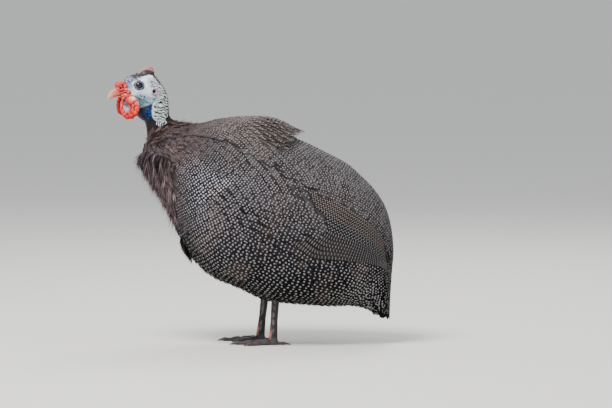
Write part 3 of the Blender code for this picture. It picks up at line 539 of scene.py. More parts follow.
def skin_tint(place, angle, points):
    """The skin's colours by region: pale face, dark crown and lids, blue throat, white flap; painted shade darkens the
    creases behind the ear and on the flap, and the skin under the coat.
    """
    side_view = turned_points(points, -HEAD_TURN)
    x, z = side_view[..., 0], side_view[..., 2]
    aside = np.minimum(angle % 360, 360 - angle % 360)
    neck_place = place - NECK_TOP
    wave, fine, speck = ripple(points, 9.0, 11), ripple(points, 4.0, 12), ripple(points, 2.2, 13)
    tint = np.broadcast_to(np.array(srgb(242, 250, 253)), points.shape).copy()

    def lay(share, colour):
        tint[:] = tint + np.clip(share, 0, 1)[..., None] * (np.array(srgb(*colour)) - tint)

    from_eye = np.hypot(x - EYE["x"], (z - EYE["z"]) * 1.1)
    round_eye = np.arctan2(z - EYE["z"], x - EYE["x"])
    head = step(-neck_place, -0.5, 0.1)
    lay(head * 0.25 * step(wave, 0.0, 0.7), (150, 192, 220))
    lay(head * 0.4 * step(speck + fine, 0.8, 1.3), (84, 106, 126))
    low_cheek = step(-z, -328.0, -321.0) * step(x, -158.0, -150.0) * (0.4 + 0.6 * step(-x, 133.0, 142.0))
    lay(head * 0.6 * bump(np.hypot(x + 160.0, z - 332.6), 4.6), (92, 132, 164))
    lay(head * 0.55 * bump(np.hypot((x + 161.4) / 1.5, z - 336.4), 3.2), (84, 118, 150))
    lay(head * 0.75 * low_cheek, (96, 156, 180))
    lay(0.85 * low_cheek * step(fine + 0.5 * wave, 0.1, 0.9), (56, 122, 154))
    lay(head * step(-fine - 0.5 * speck, 0.0, 0.6) * low_cheek, (14, 48, 66))
    lay(head * 0.8 * step(speck, 0.5, 0.9) * low_cheek, (214, 230, 232))
    lay(head * 0.7 * step(-z + 0.8 * wave, -319.5, -315.0), (92, 128, 150))
    crown_line = np.interp(x, (-168.0, -160.0, -153.5, -147.0, -138.6), (334.0, 338.8, 342.6, 346.6, 350.0))
    front_crown = step(z + 1.2 * fine - crown_line, -0.8, 1.2) * step(-x, 139.0, 144.0)
    lay(head * 0.7 * front_crown, (112, 120, 158))
    lay(head * 0.8 * bump(np.hypot((x + 151.5) / 1.4, z - 345.0), 3.0), (58, 52, 80))
    lay(head * 0.9 * front_crown * step(speck, -0.1, 0.3), (38, 38, 60))
    lay(head * 0.85 * bump(np.hypot((x + 160.5) / 1.2, z - 336.6), 3.8) * step(speck + fine, -0.5, 0.5), (64, 90, 126))
    lay(head * step(z - 0.22 * (x + 140.0) + 0.8 * fine, 347.0, 349.0), (62, 48, 60))
    lay(head * (0.8 + 0.2 * step(speck, -0.4, 0.4)) * step(-from_eye - 0.6 * fine, -7.4, -6.2), (52, 60, 92))
    lay(head * step(-from_eye, -4.6, -4.0), (24, 22, 34))
    lay(head * 0.9 * bump(from_eye - 6.2, 0.55) * step(np.sin(5 * round_eye) + speck, -0.9, 0.1), (26, 28, 44))
    lay(head * 0.7 * bump(from_eye - 8.2, 0.5) * step(speck - 0.6 * np.sin(round_eye), -0.4, 0.2), (84, 106, 138))
    lay(head * 0.9 * bump(np.hypot(x + 163.0, z - 334.5), 1.6), (46, 44, 66))
    lay(head * 0.8 * bump(np.hypot((x + 159.0) / 2.6, z - 337.0 + 0.3 * (x + 159.0)), 0.8), (60, 66, 96))
    from_ear = np.hypot(x - EAR["x"], z - EAR["z"])
    lay(head * bump(from_ear - 3.2, 1.0), (168, 132, 128))
    lay(head * step(-from_ear, -2.9, -1.8), (26, 18, 22))
    behind = head * step(x + 0.3 * (z - 330.0), -137.0, -130.0) * step(-z, -348.0, -343.0) * step(from_ear, 3.0, 4.5)
    # Painted shade: the creases behind the ear darkened along the crease lines.
    lay(behind * bump(flap_creases(side_view), 0.74) * step(speck, -0.9, -0.3), (12, 12, 18))
    lay(behind * 0.8 * step(speck + 0.6 * fine, 0.55, 0.9), (52, 52, 62))
    red = step(-x, 156.5, 160.5) * step(-z, -332.0, -328.5)
    lay(head * red, (215, 85, 80))
    neck = step(neck_place, -0.1, 0.35)
    lay(step(neck_place + 0.12 * wave - flap_hem(aside), -0.05, 0.12), (30, 23, 27))
    edge = np.interp(neck_place, FLAP_PLACES, FLAP_HIGH)
    front = step(aside - edge, -2.0, 6.0)
    lay(neck * front, (10, 10, 24))
    blue = front * step(z, 291.0, 294.0) * step(-z, -311.0, -304.0)
    lay(blue * bump((x + 131.5) / 8.5 + 0.2 * wave, 1.0), (8, 40, 88))
    lay(blue * 0.9 * step(fine, 0.2, 0.7) * step(x, -142.0, -134.0), (14, 92, 168))
    lay(0.75 * blue * step(-fine, 0.2, 0.7), (10, 12, 30))
    flap = flap_share(aside, neck_place, 2.0)
    lay(flap * 0.95, (220, 234, 230))
    # Painted shade: the flap's creases darkened.
    lay(flap * 1.15 * bump(flap_creases(side_view), 0.66 + 0.3 * fine), (8, 14, 16))
    lay(flap * 0.8 * step(speck + 0.5 * fine, 0.5, 0.9), (16, 22, 26))
    nape_edge = np.interp(neck_place, FLAP_PLACES, FLAP_LOW)
    lay(neck * (1 - step(aside - nape_edge, -6.0, -1.0)), (46, 36, 42))
    lay(head * 0.9 * (1 - step(aside, 14.0, 22.0)) * step(x, -136.0, -128.0), (52, 44, 56))
    lay(neck * front * (1 - step(z + 0.5 * fine, 289.8, 291.4)), (30, 23, 27))
    # Painted shade: the skin under the coat darkened to near black, so gaps between the feathers read as shade.
    lay(step(neck_place, 4.3, 5.0), (26, 20, 24))
    return tint


def make_skin():
    """A closed loft of 200 points round, its rings close together on the head and wide apart under the coat."""
    around = 200
    places = np.concatenate([
        np.linspace(0.0, NECK_TOP, 110, endpoint=False),
        np.linspace(NECK_TOP, NECK_TOP + 4.0, 100, endpoint=False),
        np.linspace(NECK_TOP + 4.0, len(BODY) - 1.0, 100),
    ])
    place, angle = np.meshgrid(places, np.linspace(0, 360, around, endpoint=False), indexing="ij")
    base = surface(BODY, place, angle)
    lift = skin_height(place, angle, base)
    points = base + lift[..., None] * normals(BODY, place, angle)
    tint = skin_tint(place, angle, base).reshape(-1, 3)
    uv = np.stack([place / len(BODY), angle / 360], axis=-1).reshape(-1, 2)
    points, faces = capped(points.reshape(-1, 3), grid_faces(len(places), around), len(places), around)
    faces = outward(points, faces)
    tint = np.concatenate([tint, tint[:1], tint[-1:]])
    uv = np.concatenate([uv, uv[:1], uv[-1:]])
    made = mesh_piece("skin", points, faces, uv, tint, [skin_finish()])
    settle(made, "face_skin", "torso", "neck", "ruff", "head", "tail", "wing_left", "wing_right")
    return made


def settle(made, slot, *nodes):
    """Hangs a piece on the bird's one body, and lets it stand for the solids it covers."""
    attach(made, "root")
    if nodes:
        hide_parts(*nodes)


# Horn, eyes, cere and wattles.

def horn_piece(name, stations, slot, rings, around, paint):
    """A dense loft through a horn's stations, tinted by a function of its side view."""
    rows = rows_of(stations)
    place, angle = np.meshgrid(np.linspace(0, len(rows) - 1, rings), np.linspace(0, 360, around, endpoint=False),
                               indexing="ij")
    points = surface(rows, place, angle).reshape(-1, 3)
    points, faces = capped(points, grid_faces(rings, around), rings, around)
    tint = paint(turned_points(points, -HEAD_TURN))
    made = mesh_piece(name + "_horn", points, outward(points, faces), None, tint, [horn_finish(name + " horn")])
    settle(made, slot, name)
    return made


def bill_paint(points):
    """Flesh pink at the root, paling to horn yellow towards the tip."""
    share = step(-points[:, 0], 177.0, 189.0)[:, None]
    ridge = (0.5 * step(points[:, 2], 327.0, 333.0))[:, None]
    root = np.array(srgb(218, 104, 90)) + ridge * (np.array(srgb(186, 76, 70)) - np.array(srgb(218, 104, 90)))
    return (1 - share) * root + share * np.array(srgb(232, 176, 142))


def casque_paint(points):
    """Dark purple brown at the foot with a grey fleck, pale pinkish brown along the ridge."""
    x, z = points[:, 0], points[:, 2]
    line = np.interp(x, (-152.0, -146.0, -140.0, -132.0, -126.0), (351.2, 353.6, 356.4, 356.2, 354.0))
    share = step(z + 0.4 * ripple(points, 5.0, 8), line - 0.9, line + 0.5)[:, None]
    foot = np.array(srgb(44, 31, 40))
    fleck = (0.7 * bump(np.hypot(x + 140.5, z - 352.6), 2.0))[:, None]
    foot = foot + fleck * (np.array(srgb(120, 118, 130)) - foot)
    return (1 - share) * foot + share * np.array(srgb(172, 120, 115))


def make_eye(side, sign):
    """A smooth ball with a dark brown iris round a black pupil that faces straight out."""
    depth = head_half_width(EYE["x"], EYE["z"]) - EYE["radius"] + EYE["proud"]
    points, faces = ellipsoid((0.0, 0.0, 0.0), np.full(3, EYE["radius"]), 36, 48)
    away = sign * points[:, 1] / EYE["radius"]
    share = step(away, 0.80, 0.84)[:, None]
    tint = (1 - share) * np.array(srgb(48, 26, 22)) + share * np.array((0.003, 0.002, 0.003))
    points = turned_points(points + (EYE["x"], sign * depth, EYE["z"]), HEAD_TURN)
    made = mesh_piece("eyeball_" + side, points, faces, None, tint, [EYE_FINISH])
    settle(made, "eye_gloss", "eye_" + side)


# Balls melted together: x, y outward from the head's middle plane, z, and three radii.
CERE_LOBES = (
    (-172.4, 2.4, 336.8, 5.4, 4.0, 4.2),
    (-168.2, 3.0, 338.2, 4.4, 3.6, 3.6),
    (-165.2, 5.2, 335.0, 3.4, 3.0, 3.6),
    (-170.2, 5.4, 334.0, 2.0, 2.0, 2.4),
    (-174.2, 2.6, 332.4, 3.4, 3.4, 2.4),
    (-166.2, 6.8, 331.6, 5.4, 2.0, 1.1),
    (-171.6, 6.2, 330.2, 3.6, 2.0, 1.4),
    (-165.6, 7.4, 328.6, 4.0, 2.0, 1.5),
    (-161.4, 8.8, 327.2, 3.0, 1.9, 1.5),
    (-170.8, 6.8, 327.0, 3.4, 2.0, 1.3),
    (-165.4, 8.0, 325.2, 4.0, 2.2, 1.4),
    (-161.6, 9.2, 323.8, 3.0, 2.1, 1.6),
    (-168.4, 7.6, 323.6, 3.2, 2.0, 1.2),
    (-163.4, 9.0, 321.6, 4.2, 2.2, 1.5),
)
WATTLE_LOBES = (
    (-164.5, 9.6, 322.3, 5.2, 2.6, 3.4),
    (-159.6, 13.0, 317.4, 7.3, 4.4, 5.6),
    (-153.8, 13.6, 312.3, 4.4, 3.6, 5.4),
    (-152.8, 14.6, 306.2, 4.0, 3.4, 5.2),
    (-155.2, 15.0, 300.6, 4.4, 3.4, 4.4),
    (-160.0, 15.4, 296.6, 4.2, 3.2, 3.7),
    (-165.0, 15.2, 295.4, 3.9, 3.0, 3.2),
    (-168.8, 14.8, 298.4, 3.2, 2.8, 3.6),
    (-171.2, 14.2, 302.8, 2.5, 2.5, 4.0),
    (-172.4, 13.4, 307.6, 2.1, 2.3, 4.2),
    (-172.0, 12.4, 312.8, 2.0, 2.2, 4.2),
    (-169.8, 11.2, 318.0, 2.5, 2.1, 4.0),
    (-164.4, 11.4, 307.5, 9.0, 1.4, 12.0),
    (-158.4, 14.4, 303.8, 2.6, 2.4, 4.4),
    (-163.2, 13.6, 301.0, 2.8, 1.8, 2.4),
    (-157.6, 14.6, 310.4, 2.4, 2.6, 3.0),
)


def melted(name, balls, voxel, rounds):
    """Overlapping balls given in the head's frame, made one closed skin and smoothed a little."""
    points, faces = joined([ellipsoid(ball[:3], ball[3:]) for ball in balls])
    made = mesh_piece(name, turned_points(points, HEAD_TURN), faces)
    melt = made.modifiers.new("melt", "REMESH")
    melt.mode, melt.voxel_size = "VOXEL", voxel * MM
    relax = made.modifiers.new("relax", "SMOOTH")
    relax.iterations, relax.factor = rounds, 0.5
    freeze(made)
    return made


def hollows(made):
    """How hollow the surface is at each point: towards 1 in creases and -1 on ridges."""
    mesh, points = made.data, mesh_points(made)
    edges = np.empty(len(mesh.edges) * 2, np.int32)
    mesh.edges.foreach_get("vertices", edges)
    normal = np.empty(len(points) * 3)
    mesh.vertices.foreach_get("normal", normal)
    first, second = edges.reshape(-1, 2).T
    count = np.bincount(edges, minlength=len(points))

    def averaged(values):
        total = np.bincount(first, values[second], len(points)) + np.bincount(second, values[first], len(points))
        return total / np.maximum(count, 1)

    mean = np.stack([averaged(points[:, axis]) for axis in range(3)], axis=-1)
    bend = ((mean - points) * normal.reshape(-1, 3)).sum(axis=1)
    for _ in range(3):
        bend = 0.4 * bend + 0.6 * averaged(bend)
    return np.clip(bend / np.percentile(np.abs(bend), 93), -1, 1)


def make_cere():
    """Rounded lobes and folds of red skin over the bill's root and at the corners of the mouth, melted together."""
    balls = [(x, sign * y, z, *radii) for x, y, z, *radii in CERE_LOBES for sign in (-1, 1)]
    made = melted("cere", balls, 0.36, 2)
    flat = turned_points(mesh_points(made), -HEAD_TURN)
    x, z = flat[:, 0], flat[:, 2]
    tint = np.broadcast_to(np.array(srgb(208, 52, 46)), flat.shape).copy()
    tint *= 1 - 0.25 * step(-flat[:, 2:], -332.0, -329.0)

    def lay(share, colour):
        tint[:] = tint + np.clip(share, 0, 1)[:, None] * (np.array(srgb(*colour)) - tint)

    crease = hollows(made)
    # Painted shade in the creases between the lobes.
    lay(0.95 * step(crease, 0.1, 0.6), (112, 12, 20))
    # Painted highlight on the lobes' ridges, in patches.
    lay(0.6 * step(-crease, 0.3, 0.9) * step(ripple(flat, 5.0, 4), -0.4, 0.4), (250, 168, 156))
    lay(0.85 * bump(z - 331.4, 0.7) * step(x, -169.0, -165.0), (242, 212, 212))
    # Painted shade: a dark crescent inside the curl of the front lobe.
    curl = np.hypot(x + 172.6, z - 336.4)
    lay(0.95 * bump(curl - 3.2, 0.9) * step(0.8 * (x + 172.6) - 0.6 * (z - 336.4), 0.4, 1.6), (44, 12, 16))
    paint_points(made, tint)
    made.data.materials.append(FLESH_FINISH)
    settle(made, "wattle_skin")


def make_wattle(side, sign):
    """A curled flap: lobes melted in a ring round a thin pale hollow, from the mouth's corner down."""
    balls = []
    root, size = np.array(WATTLE_LOBES[0][:3]), 1.0 if side == "left" else 0.84
    for lobe in np.array(WATTLE_LOBES):
        x, y, z = root + size * (lobe[:3] - root + RNG.uniform(-0.25, 0.25, 3))
        balls.append((x, sign * y, z, *(size * lobe[3:])))
    made = melted("wattle_flap_" + side, balls, 0.42, 2)
    flat = turned_points(mesh_points(made), -HEAD_TURN)
    x, y, z = (root + (flat * (1, sign, 1) - root) / size).T
    tint = np.broadcast_to(np.array(srgb(234, 44, 32)), flat.shape).copy()

    def lay(share, colour):
        tint[:] = tint + np.clip(share, 0, 1)[:, None] * (np.array(srgb(*colour)) - tint)

    wave, crease = ripple(flat, 5.0, 23), hollows(made)
    lay(0.6 * step(wave, 0.0, 0.8) * step(z, 298.0, 304.0), (250, 128, 96))
    lay(0.7 * step(-wave, 0.2, 0.8), (184, 20, 30))
    outer = step(y, 11.4, 12.2)
    lay(0.4 * outer * bump(np.hypot(x + 172.0, (z - 300.0) / 2.0), 2.6), (226, 96, 84))
    # Painted highlight on the bulb.
    lay(outer * bump(np.hypot((x + 157.6) / 1.4, z - 319.8), 2.9), (255, 220, 200))
    # Painted highlight along the right edge.
    lay(0.7 * outer * bump(np.hypot(x + 150.6, (z - 313.5) / 1.6), 2.0), (255, 206, 192))
    hollow = outer * bump(np.hypot((x + 167.4) / 4.0, (z - 308.2) / 6.4), 1.0) ** 0.5
    lay(1.2 * hollow * step(-y, -14.0, -12.8) * step(ripple(flat, 4.0, 9), -1.1, -0.3), (190, 200, 226))
    # Painted shade in the upper part of the hollow.
    lay(1.1 * hollow * step(-y, -14.0, -12.8) * step(z + 0.6 * (x + 168.0), 308.0, 312.0), (70, 44, 52))
    # Painted shade in the gap between the ring's front limb and the bulb.
    lay(0.95 * outer * bump(np.hypot((x + 169.6) / 1.1, z - 317.4), 2.3), (44, 22, 24))
    # Painted shade: the far wattle darkened all over (the step is one everywhere).
    lay(0.75 * (side == "right") * step(crease, -2.0, -1.9), (168, 16, 20))
    lay(0.85 * step(-z, -300.5, -296.5), (188, 10, 20))
    # Painted shade in the creases, outside the hollow.
    lay(step(crease, 0.1, 0.6) * (1 - hollow), (88, 6, 16))
    paint_points(made, tint)
    made.data.materials.append(FLESH_FINISH)
    settle(made, "wattle_skin", "wattle_" + side)


def make_papillae():
    """Small pale drops of skin hanging under the hem of each flap."""
    parts = []
    for sign in (-1, 1):
        for number in range(24):
            angle = 58 + 40 * (number + RNG.uniform()) / 24
            place = NECK_TOP + flap_hem(angle) + (-0.05, 0.25, 0.5)[number % 3] + RNG.uniform(-0.08, 0.08)
            spot = (place, angle if sign < 0 else 360 - angle)
            base = surface(BODY, *spot) + 0.4 * normals(BODY, *spot)
            size = RNG.uniform(0.55, 0.85)
            parts.append(ellipsoid(base, (size, size * 0.8, size * RNG.uniform(1.4, 2.6)), 8, 12))
    points, faces = joined(parts)
    tint = np.broadcast_to(np.array(srgb(212, 224, 226)), points.shape)
    made = mesh_piece("flap_papillae", points, faces, None, tint, [FLESH_FINISH])
    settle(made, "face_skin")


def make_bristles():
    """Fine dark hairs down the nape, over the brow and a few round the ear: spikes leaning back off the skin."""
    count = 1900
    place = NECK_TOP + RNG.uniform(-3.4, 2.9, count)
    angle = RNG.normal(0, 11.0, count)
    few, brow = RNG.uniform(size=(2, count)) < ((0.24,), (0.2,))
    angle = np.where(few, RNG.uniform(-60, 60, count), angle)
    place = np.where(brow, RNG.uniform(0.3, 2.6, count), place)
    angle = np.where(brow, RNG.uniform(-55, 55, count), angle)
    base = surface(BODY, place, angle) + 1.5 * brow[:, None] * normals(BODY, place, angle)
    normal = normals(BODY, place, angle)
    onward = unit(surface(BODY, place + 0.05, angle) - surface(BODY, place, angle))
    length = RNG.uniform(2.5, 6.5, count) * np.where(few | brow, 0.5, 1.0) * np.where(place > NECK_TOP + 0.6, 0.7, 1.0)
    rings = 5
    share = np.linspace(0, 1, rings)[None, :, None]
    lean = RNG.uniform(0.2, 1.1, (count, 1, 1))
    scatter = RNG.normal(0, 0.28, (count, 1, 3))
    path = base[:, None] + length[:, None, None] * share * (
        unit(onward[:, None] + lean * normal[:, None] + scatter) - (0.0, 0.0, 0.25) * share)
    across = unit(np.cross(onward, normal))[:, None]
    width = 0.13 * (1.02 - share)
    ring = np.stack([path - width * across, path + width * across, path + 1.6 * width * normal[:, None]], axis=2)
    points = ring.reshape(-1, 3)
    ends = np.array([(2, 1, 0, -1), (3 * rings - 3, 3 * rings - 2, 3 * rings - 1, -1)])
    one = np.concatenate([grid_faces(rings, 3), ends])
    faces = np.where(one[None] >= 0, one[None] + 3 * rings * np.arange(count)[:, None, None], -1).reshape(-1, 4)
    uv = np.stack([place / len(BODY), (angle % 360) / 360], axis=-1)
    uv = np.repeat(uv, 3 * rings, axis=0) + np.tile(RNG.uniform(-0.001, 0.001, (3 * rings, 2)), (count, 1))
    tint = np.broadcast_to(np.array(srgb(64, 51, 53)), points.shape)
    made = mesh_piece("nape_bristles", points, outward(points, faces), uv, tint, [VANE_FINISH])
    settle(made, "body_feather")


def mesh_points(made):
    points = np.empty(len(made.data.vertices) * 3)
    made.data.vertices.foreach_get("co", points)
    return points.reshape(-1, 3) / MM


def paint_points(made, tint):
    layer = made.data.color_attributes.new("tint", "FLOAT_COLOR", "POINT")
    layer.data.foreach_set("color", np.concatenate([tint, np.ones((len(tint), 1))], axis=1).ravel())


def freeze(made):
    """Applies a piece's modifiers."""
    graph = bpy.context.evaluated_depsgraph_get()
    mesh = bpy.data.meshes.new_from_object(made.evaluated_get(graph))
    old = made.data
    made.modifiers.clear()
    made.data = mesh
    bpy.data.meshes.remove(old)
    made.data.shade_smooth()


# Legs and feet.

def toe_path(side, toe, count=40):
    """The toe's line on the floor from under the ankle, its radii with a swelling at each joint."""
    leg = LEGS[side]
    length, spread = TOES[toe]
    heading = math.radians(180 + leg["heading"] - leg["side"] * spread)
    start = np.array([leg["ankle"][0], leg["side"] * LEG_SPREAD, 0.0])
    ahead = np.array([math.cos(heading), math.sin(heading), 0.0])
    knuckles = 3 if toe != "hind" else 1
    share = np.linspace(0, 1, count)
    radii = 3.9 - 1.5 * share + 0.35 * np.cos(2 * math.pi * knuckles * share)
    radii *= 0.8 if toe == "hind" else 1.0
    height = radii - 0.45 + 0.3 * (1 - share) ** 3
    path = start + ahead * (length * share)[:, None]
    path[:, 2] = height
    return path, radii, ahead


def make_leg(side):
    """The shank and its foot in one piece: tubes with overlapping scutes down the front and along the toes."""
    leg = LEGS[side]
    y = leg["side"] * LEG_SPREAD
    (hock_x, hock_z), (ankle_x, ankle_z) = leg["hock"], leg["ankle"]
    share = np.linspace(0, 1, 150)
    z = hock_z + (ankle_z - hock_z) * share
    path = np.stack([hock_x + (ankle_x - hock_x) * share, np.full_like(z, y), z], axis=-1)
    radii = np.interp(share, (0, 0.25, 0.7, 0.95, 1.0), (7.0, 5.4, 4.6, 5.4, 5.8))

    def scutes(row, turn):
        front = step(np.cos(turn - SHANK_FRONT), 0.1, 0.5)
        lap = (z[row] / 4.6) % 1.0
        return 1 + 0.07 * front * (1 - lap) + 0.03 * (1 - front) * np.sin(z[row] * 2.2) * np.cos(6 * turn)

    parts = [tube(path, radii, 40, 1.0, scutes)]
    palm = np.array([[ankle_x, y, height] for height in (0.0, 0.8, 2.0, 4.5, 6.8, ankle_z, ankle_z + 2.0)])
    parts.append(tube(palm, (5.9, 6.6, 7.0, 6.6, 5.9, 5.7, 5.2), 28))
    for toe in TOES:
        line, thickness, _ = toe_path(side, toe)
        count = len(line)

        def plates(row, turn, count=count):
            top = step(np.sin(turn), 0.0, 0.5)
            lap = (row / count * 11.0) % 1.0
            return 1 + 0.09 * top * (1 - lap) + 0.0 * turn

        parts.append(tube(line, thickness, 24, 1.0, plates))
    points, faces = joined(parts)
    points[:, 2] = np.maximum(points[:, 2], 0.02)
    tint = np.broadcast_to(np.array(srgb(50, 41, 41)), points.shape).copy()
    toe_share = step(-points[:, 2], -12.0, -7.0)[:, None]
    tint += toe_share * (np.array(srgb(74, 68, 70)) - tint)
    from_axis = points[:, 0] - np.interp(points[:, 2], (ankle_z, hock_z), (ankle_x, hock_x))
    seam = (((points[:, 2] / 4.6) % 1.0 < 0.16) * step(-from_axis, -1.0, 3.0))[:, None] * (1 - toe_share) * 0.35
    tint += seam * (np.array(srgb(120, 108, 102)) - tint)
    # Painted highlight: a pale patchy streak down the shank's front.
    highlight_streak = bump(from_axis + 1.0, 1.4) * step(ripple(points, 9.0, 17), -0.8, 0.1) * step(points[:, 2], 12.0, 18.0)
    tint += 0.6 * highlight_streak[:, None] * (np.array(srgb(150, 146, 152)) - tint)
    warm = (bump(points[:, 2] - 14.0, 6.5) * step(points[:, 2], 6.0, 9.0) * step(-from_axis, 1.5, 3.5) * 0.85)[:, None]
    tint += warm * (np.array(srgb(206, 132, 104)) - tint)
    made = mesh_piece("shank_and_foot_" + side, points, faces, None, tint, [SCALE_FINISH])
    settle(made, "leg_scale", "leg_" + side, "foot_" + side)
    for toe in TOES:
        line, thickness, ahead = toe_path(side, toe)
        along = np.linspace(0, 1, 16)
        radius = thickness[-1] * 0.86 * (1 - 0.8 * along)
        height = radius + 0.1 + 0.5 * np.sin(math.pi * along) * thickness[-1] * 0.25
        claw = line[-1] + ahead * (-0.6 + CLAW_LENGTH * along)[:, None]
        claw[:, 2] = height
        points, faces = tube(claw, radius, 16, 0.95)
        points[:, 2] = np.maximum(points[:, 2], 0.02)
        tint = np.broadcast_to(np.array(srgb(70, 62, 58)), points.shape).copy()
        made = mesh_piece(f"claw_horn_{side}_{toe}", points, faces, None, tint, [CLAW_FINISH])
        settle(made, "claw_horn", f"claw_{side}_{toe}")


SHANK_FRONT = 0.0


# Feathers.

class Feathers:
    """Vanes of one group laid over the trunk, all worked out as arrays and joined in one piece.

    A feather runs from a root place and angle to a tip place and angle. Its middle line is the trunk's surface
    raised by a lift that grows from root to tip; its width follows a rounded outline, and it is cambered like a
    roof tile: height over the middle line falls with the square of the distance across.
    """

    COLUMNS = 5

    def __init__(self, root, tip, width, lifts, blunt=0.6, camber=0.12, thick=0.3, lean=0.0, layout=None,
                 relief=None, taper=0.0, rings=7):
        self.root, self.tip = np.asarray(root, float), np.asarray(tip, float)
        self.width = np.broadcast_to(np.asarray(width, float), len(self.root))
        self.lifts, self.blunt, self.camber, self.thick = lifts, blunt, camber, thick
        self.lean = np.broadcast_to(np.asarray(lean, float), len(self.root))
        self.layout = layout or (lambda spot: spot)
        self.relief, self.taper, self.rings = relief, taper, rings

    def only(self, chosen):
        """The same group with only some of its feathers."""
        return Feathers(self.root[chosen], self.tip[chosen], self.width[chosen], self.lifts, self.blunt, self.camber,
                        self.thick, self.lean[chosen], self.layout, self.relief, self.taper, self.rings)

    def outline(self, share):
        """Half the width at a share of the length: swells from the root, then closes in a rounded end."""
        rise = 0.45 + 0.55 * np.clip(share / 0.35, 0, 1) ** 0.7
        end = np.clip((share - self.blunt) / (1.0 - self.blunt), 0, 1)
        return rise * np.sqrt(np.clip(1 - 0.985 * end ** 2.4, 0, 1)) * (1 - self.taper * share)

    def frame_at(self, which, share):
        """The middle point and the three directions of some feathers at shares of their length."""
        spot = self.root[which] + share[..., None] * (self.tip - self.root)[which]
        ahead_spot = self.layout(spot + 0.03 * (self.tip - self.root)[which])
        spot = self.layout(spot)
        place, angle = spot[..., 0], spot[..., 1]
        low, high, end = self.lifts
        lift = np.where(share < 0.4, low + (high - low) * share / 0.4, high + (end - high) * (share - 0.4) / 0.6)
        if self.relief is not None:
            lift = lift + self.relief(place, angle)
        normal = normals(TRUNK, place, angle)
        middle = surface(TRUNK, place, angle) + lift[..., None] * normal
        onward = surface(TRUNK, ahead_spot[..., 0], ahead_spot[..., 1]) - surface(TRUNK, place, angle)
        ahead = unit(onward)
        across = np.cross(ahead, normal)
        return middle, np.linalg.norm(onward, axis=-1) / 0.03, across, normal

    def point_at(self, which, share, across_share):
        """Points of the vanes' upper faces."""
        middle, stretch, across, normal = self.frame_at(which, share)
        half = self.width[which] * self.outline(share)
        side = across_share * half
        crown = self.camber * self.width[which] * (0.4 - across_share ** 2) * np.clip(self.outline(share), 0.3, 1)
        crown = crown + self.lean[which] * side
        return middle + side[..., None] * across + crown[..., None] * normal, stretch, half, normal

    def mesh(self):
        """Rings round each vane: the upper face from edge to edge, then the lower face back, with end caps."""
        count = len(self.root)
        across_share = np.linspace(-1, 1, self.COLUMNS)
        share = 1 - (1 - np.linspace(0, 1, self.rings)) ** 1.3
        which = np.arange(count)[:, None, None]
        share_grid = np.broadcast_to(share[None, :, None], (count, self.rings, self.COLUMNS))
        across_grid = np.broadcast_to(across_share[None, None, :], share_grid.shape)
        which = np.broadcast_to(which, share_grid.shape)
        top, _, _, normal = self.point_at(which, share_grid, across_grid)
        inner = slice(self.COLUMNS - 2, 0, -1)
        bottom = (top - normal * (self.thick * (1 - across_grid ** 2))[..., None])[:, :, inner]
        rings = np.concatenate([top, bottom], axis=2)
        around = 2 * self.COLUMNS - 2
        each = self.rings * around
        points = rings.reshape(-1, 3)
        body = grid_faces(self.rings, around)
        columns = np.arange(around)
        pairs = [(k, k + 1, around - k - 1, around - k) for k in range(1, self.COLUMNS - 2)]
        cap = [(0, 1, around - 1, -1)] + pairs + [(self.COLUMNS - 2, self.COLUMNS - 1, self.COLUMNS, -1)]
        cap = np.array([face for face in cap if face[0] != face[1]])
        cap[:, :] = np.where(cap == around, 0, cap)
        end = np.where(cap >= 0, cap + (self.rings - 1) * around, -1)
        end = np.where(end[:, 3:4] >= 0, end[:, ::-1], end[:, [2, 1, 0, 3]])
        one = np.concatenate([body[:, ::-1], cap, end])
        faces = np.where(one[None] >= 0, one[None] + each * np.arange(count)[:, None, None], -1).reshape(-1, 4)
        uv_share = np.concatenate([share_grid, share_grid[:, :, inner]], axis=2)
        uv_across = np.concatenate([across_grid, across_grid[:, :, inner]], axis=2)
        uv = self.patch(which[:, :, :1], uv_share, uv_across).reshape(-1, 2)
        self.per_point = np.repeat(np.arange(count), each)
        self.share_per_point = uv_share.reshape(-1)
        self.across_per_point = uv_across.reshape(-1)
        return points, faces, uv

    def patch(self, which, share, across_share):
        """A patch 0.003 across round the root's place on the unwrapped skin."""
        root = self.layout(self.root[which])
        return np.stack([
            (root[..., 0] + NECK_TOP) / len(BODY) + 0.003 * (share - 0.5),
            (root[..., 1] % 360) / 360 + 0.0015 * across_share,
        ], axis=-1)

    def pearls(self, which, share, across_share, radius, sides=7, rise=0.3, length=1.0):
        """Low domes on the upper faces: a fan of faces from a raised middle to a rim sunk in the vane."""
        which, share, across_share = (np.asarray(value) for value in (which, share, across_share))
        radius = np.broadcast_to(radius, which.shape)[:, None]
        middle, stretch, half, normal = self.point_at(which, share, across_share)
        turn = np.linspace(0, 2 * math.pi, sides, endpoint=False)
        rim_share = np.clip(share[:, None] + radius * length * np.cos(turn) / stretch[:, None], 0.02, 0.995)
        rim_across = across_share[:, None] + radius * np.sin(turn) / np.maximum(half, 0.2)[:, None]
        each_which = np.broadcast_to(which[:, None], rim_share.shape)
        rim, _, _, rim_normal = self.point_at(each_which, rim_share, np.clip(rim_across, -0.98, 0.98))
        points = np.concatenate([rim - 0.03 * rim_normal, (middle + rise * normal)[:, None]], axis=1)
        each = sides + 1
        step_on = np.arange(sides)
        fan = np.stack([step_on, (step_on + 1) % sides, np.full(sides, sides), np.full(sides, -1)], axis=-1)
        faces = np.where(fan[None] >= 0, fan[None] + each * np.arange(len(which))[:, None, None], -1).reshape(-1, 4)
        a, b, c = points[0, 0], points[0, 1], points[0, sides]
        if np.dot(np.cross(b - a, c - a), normal[0]) < 0:
            faces = faces[:, [1, 0, 2, 3]]
        uv = np.repeat(self.patch(which, share, across_share), each, axis=0)
        return points.reshape(-1, 3), faces, uv


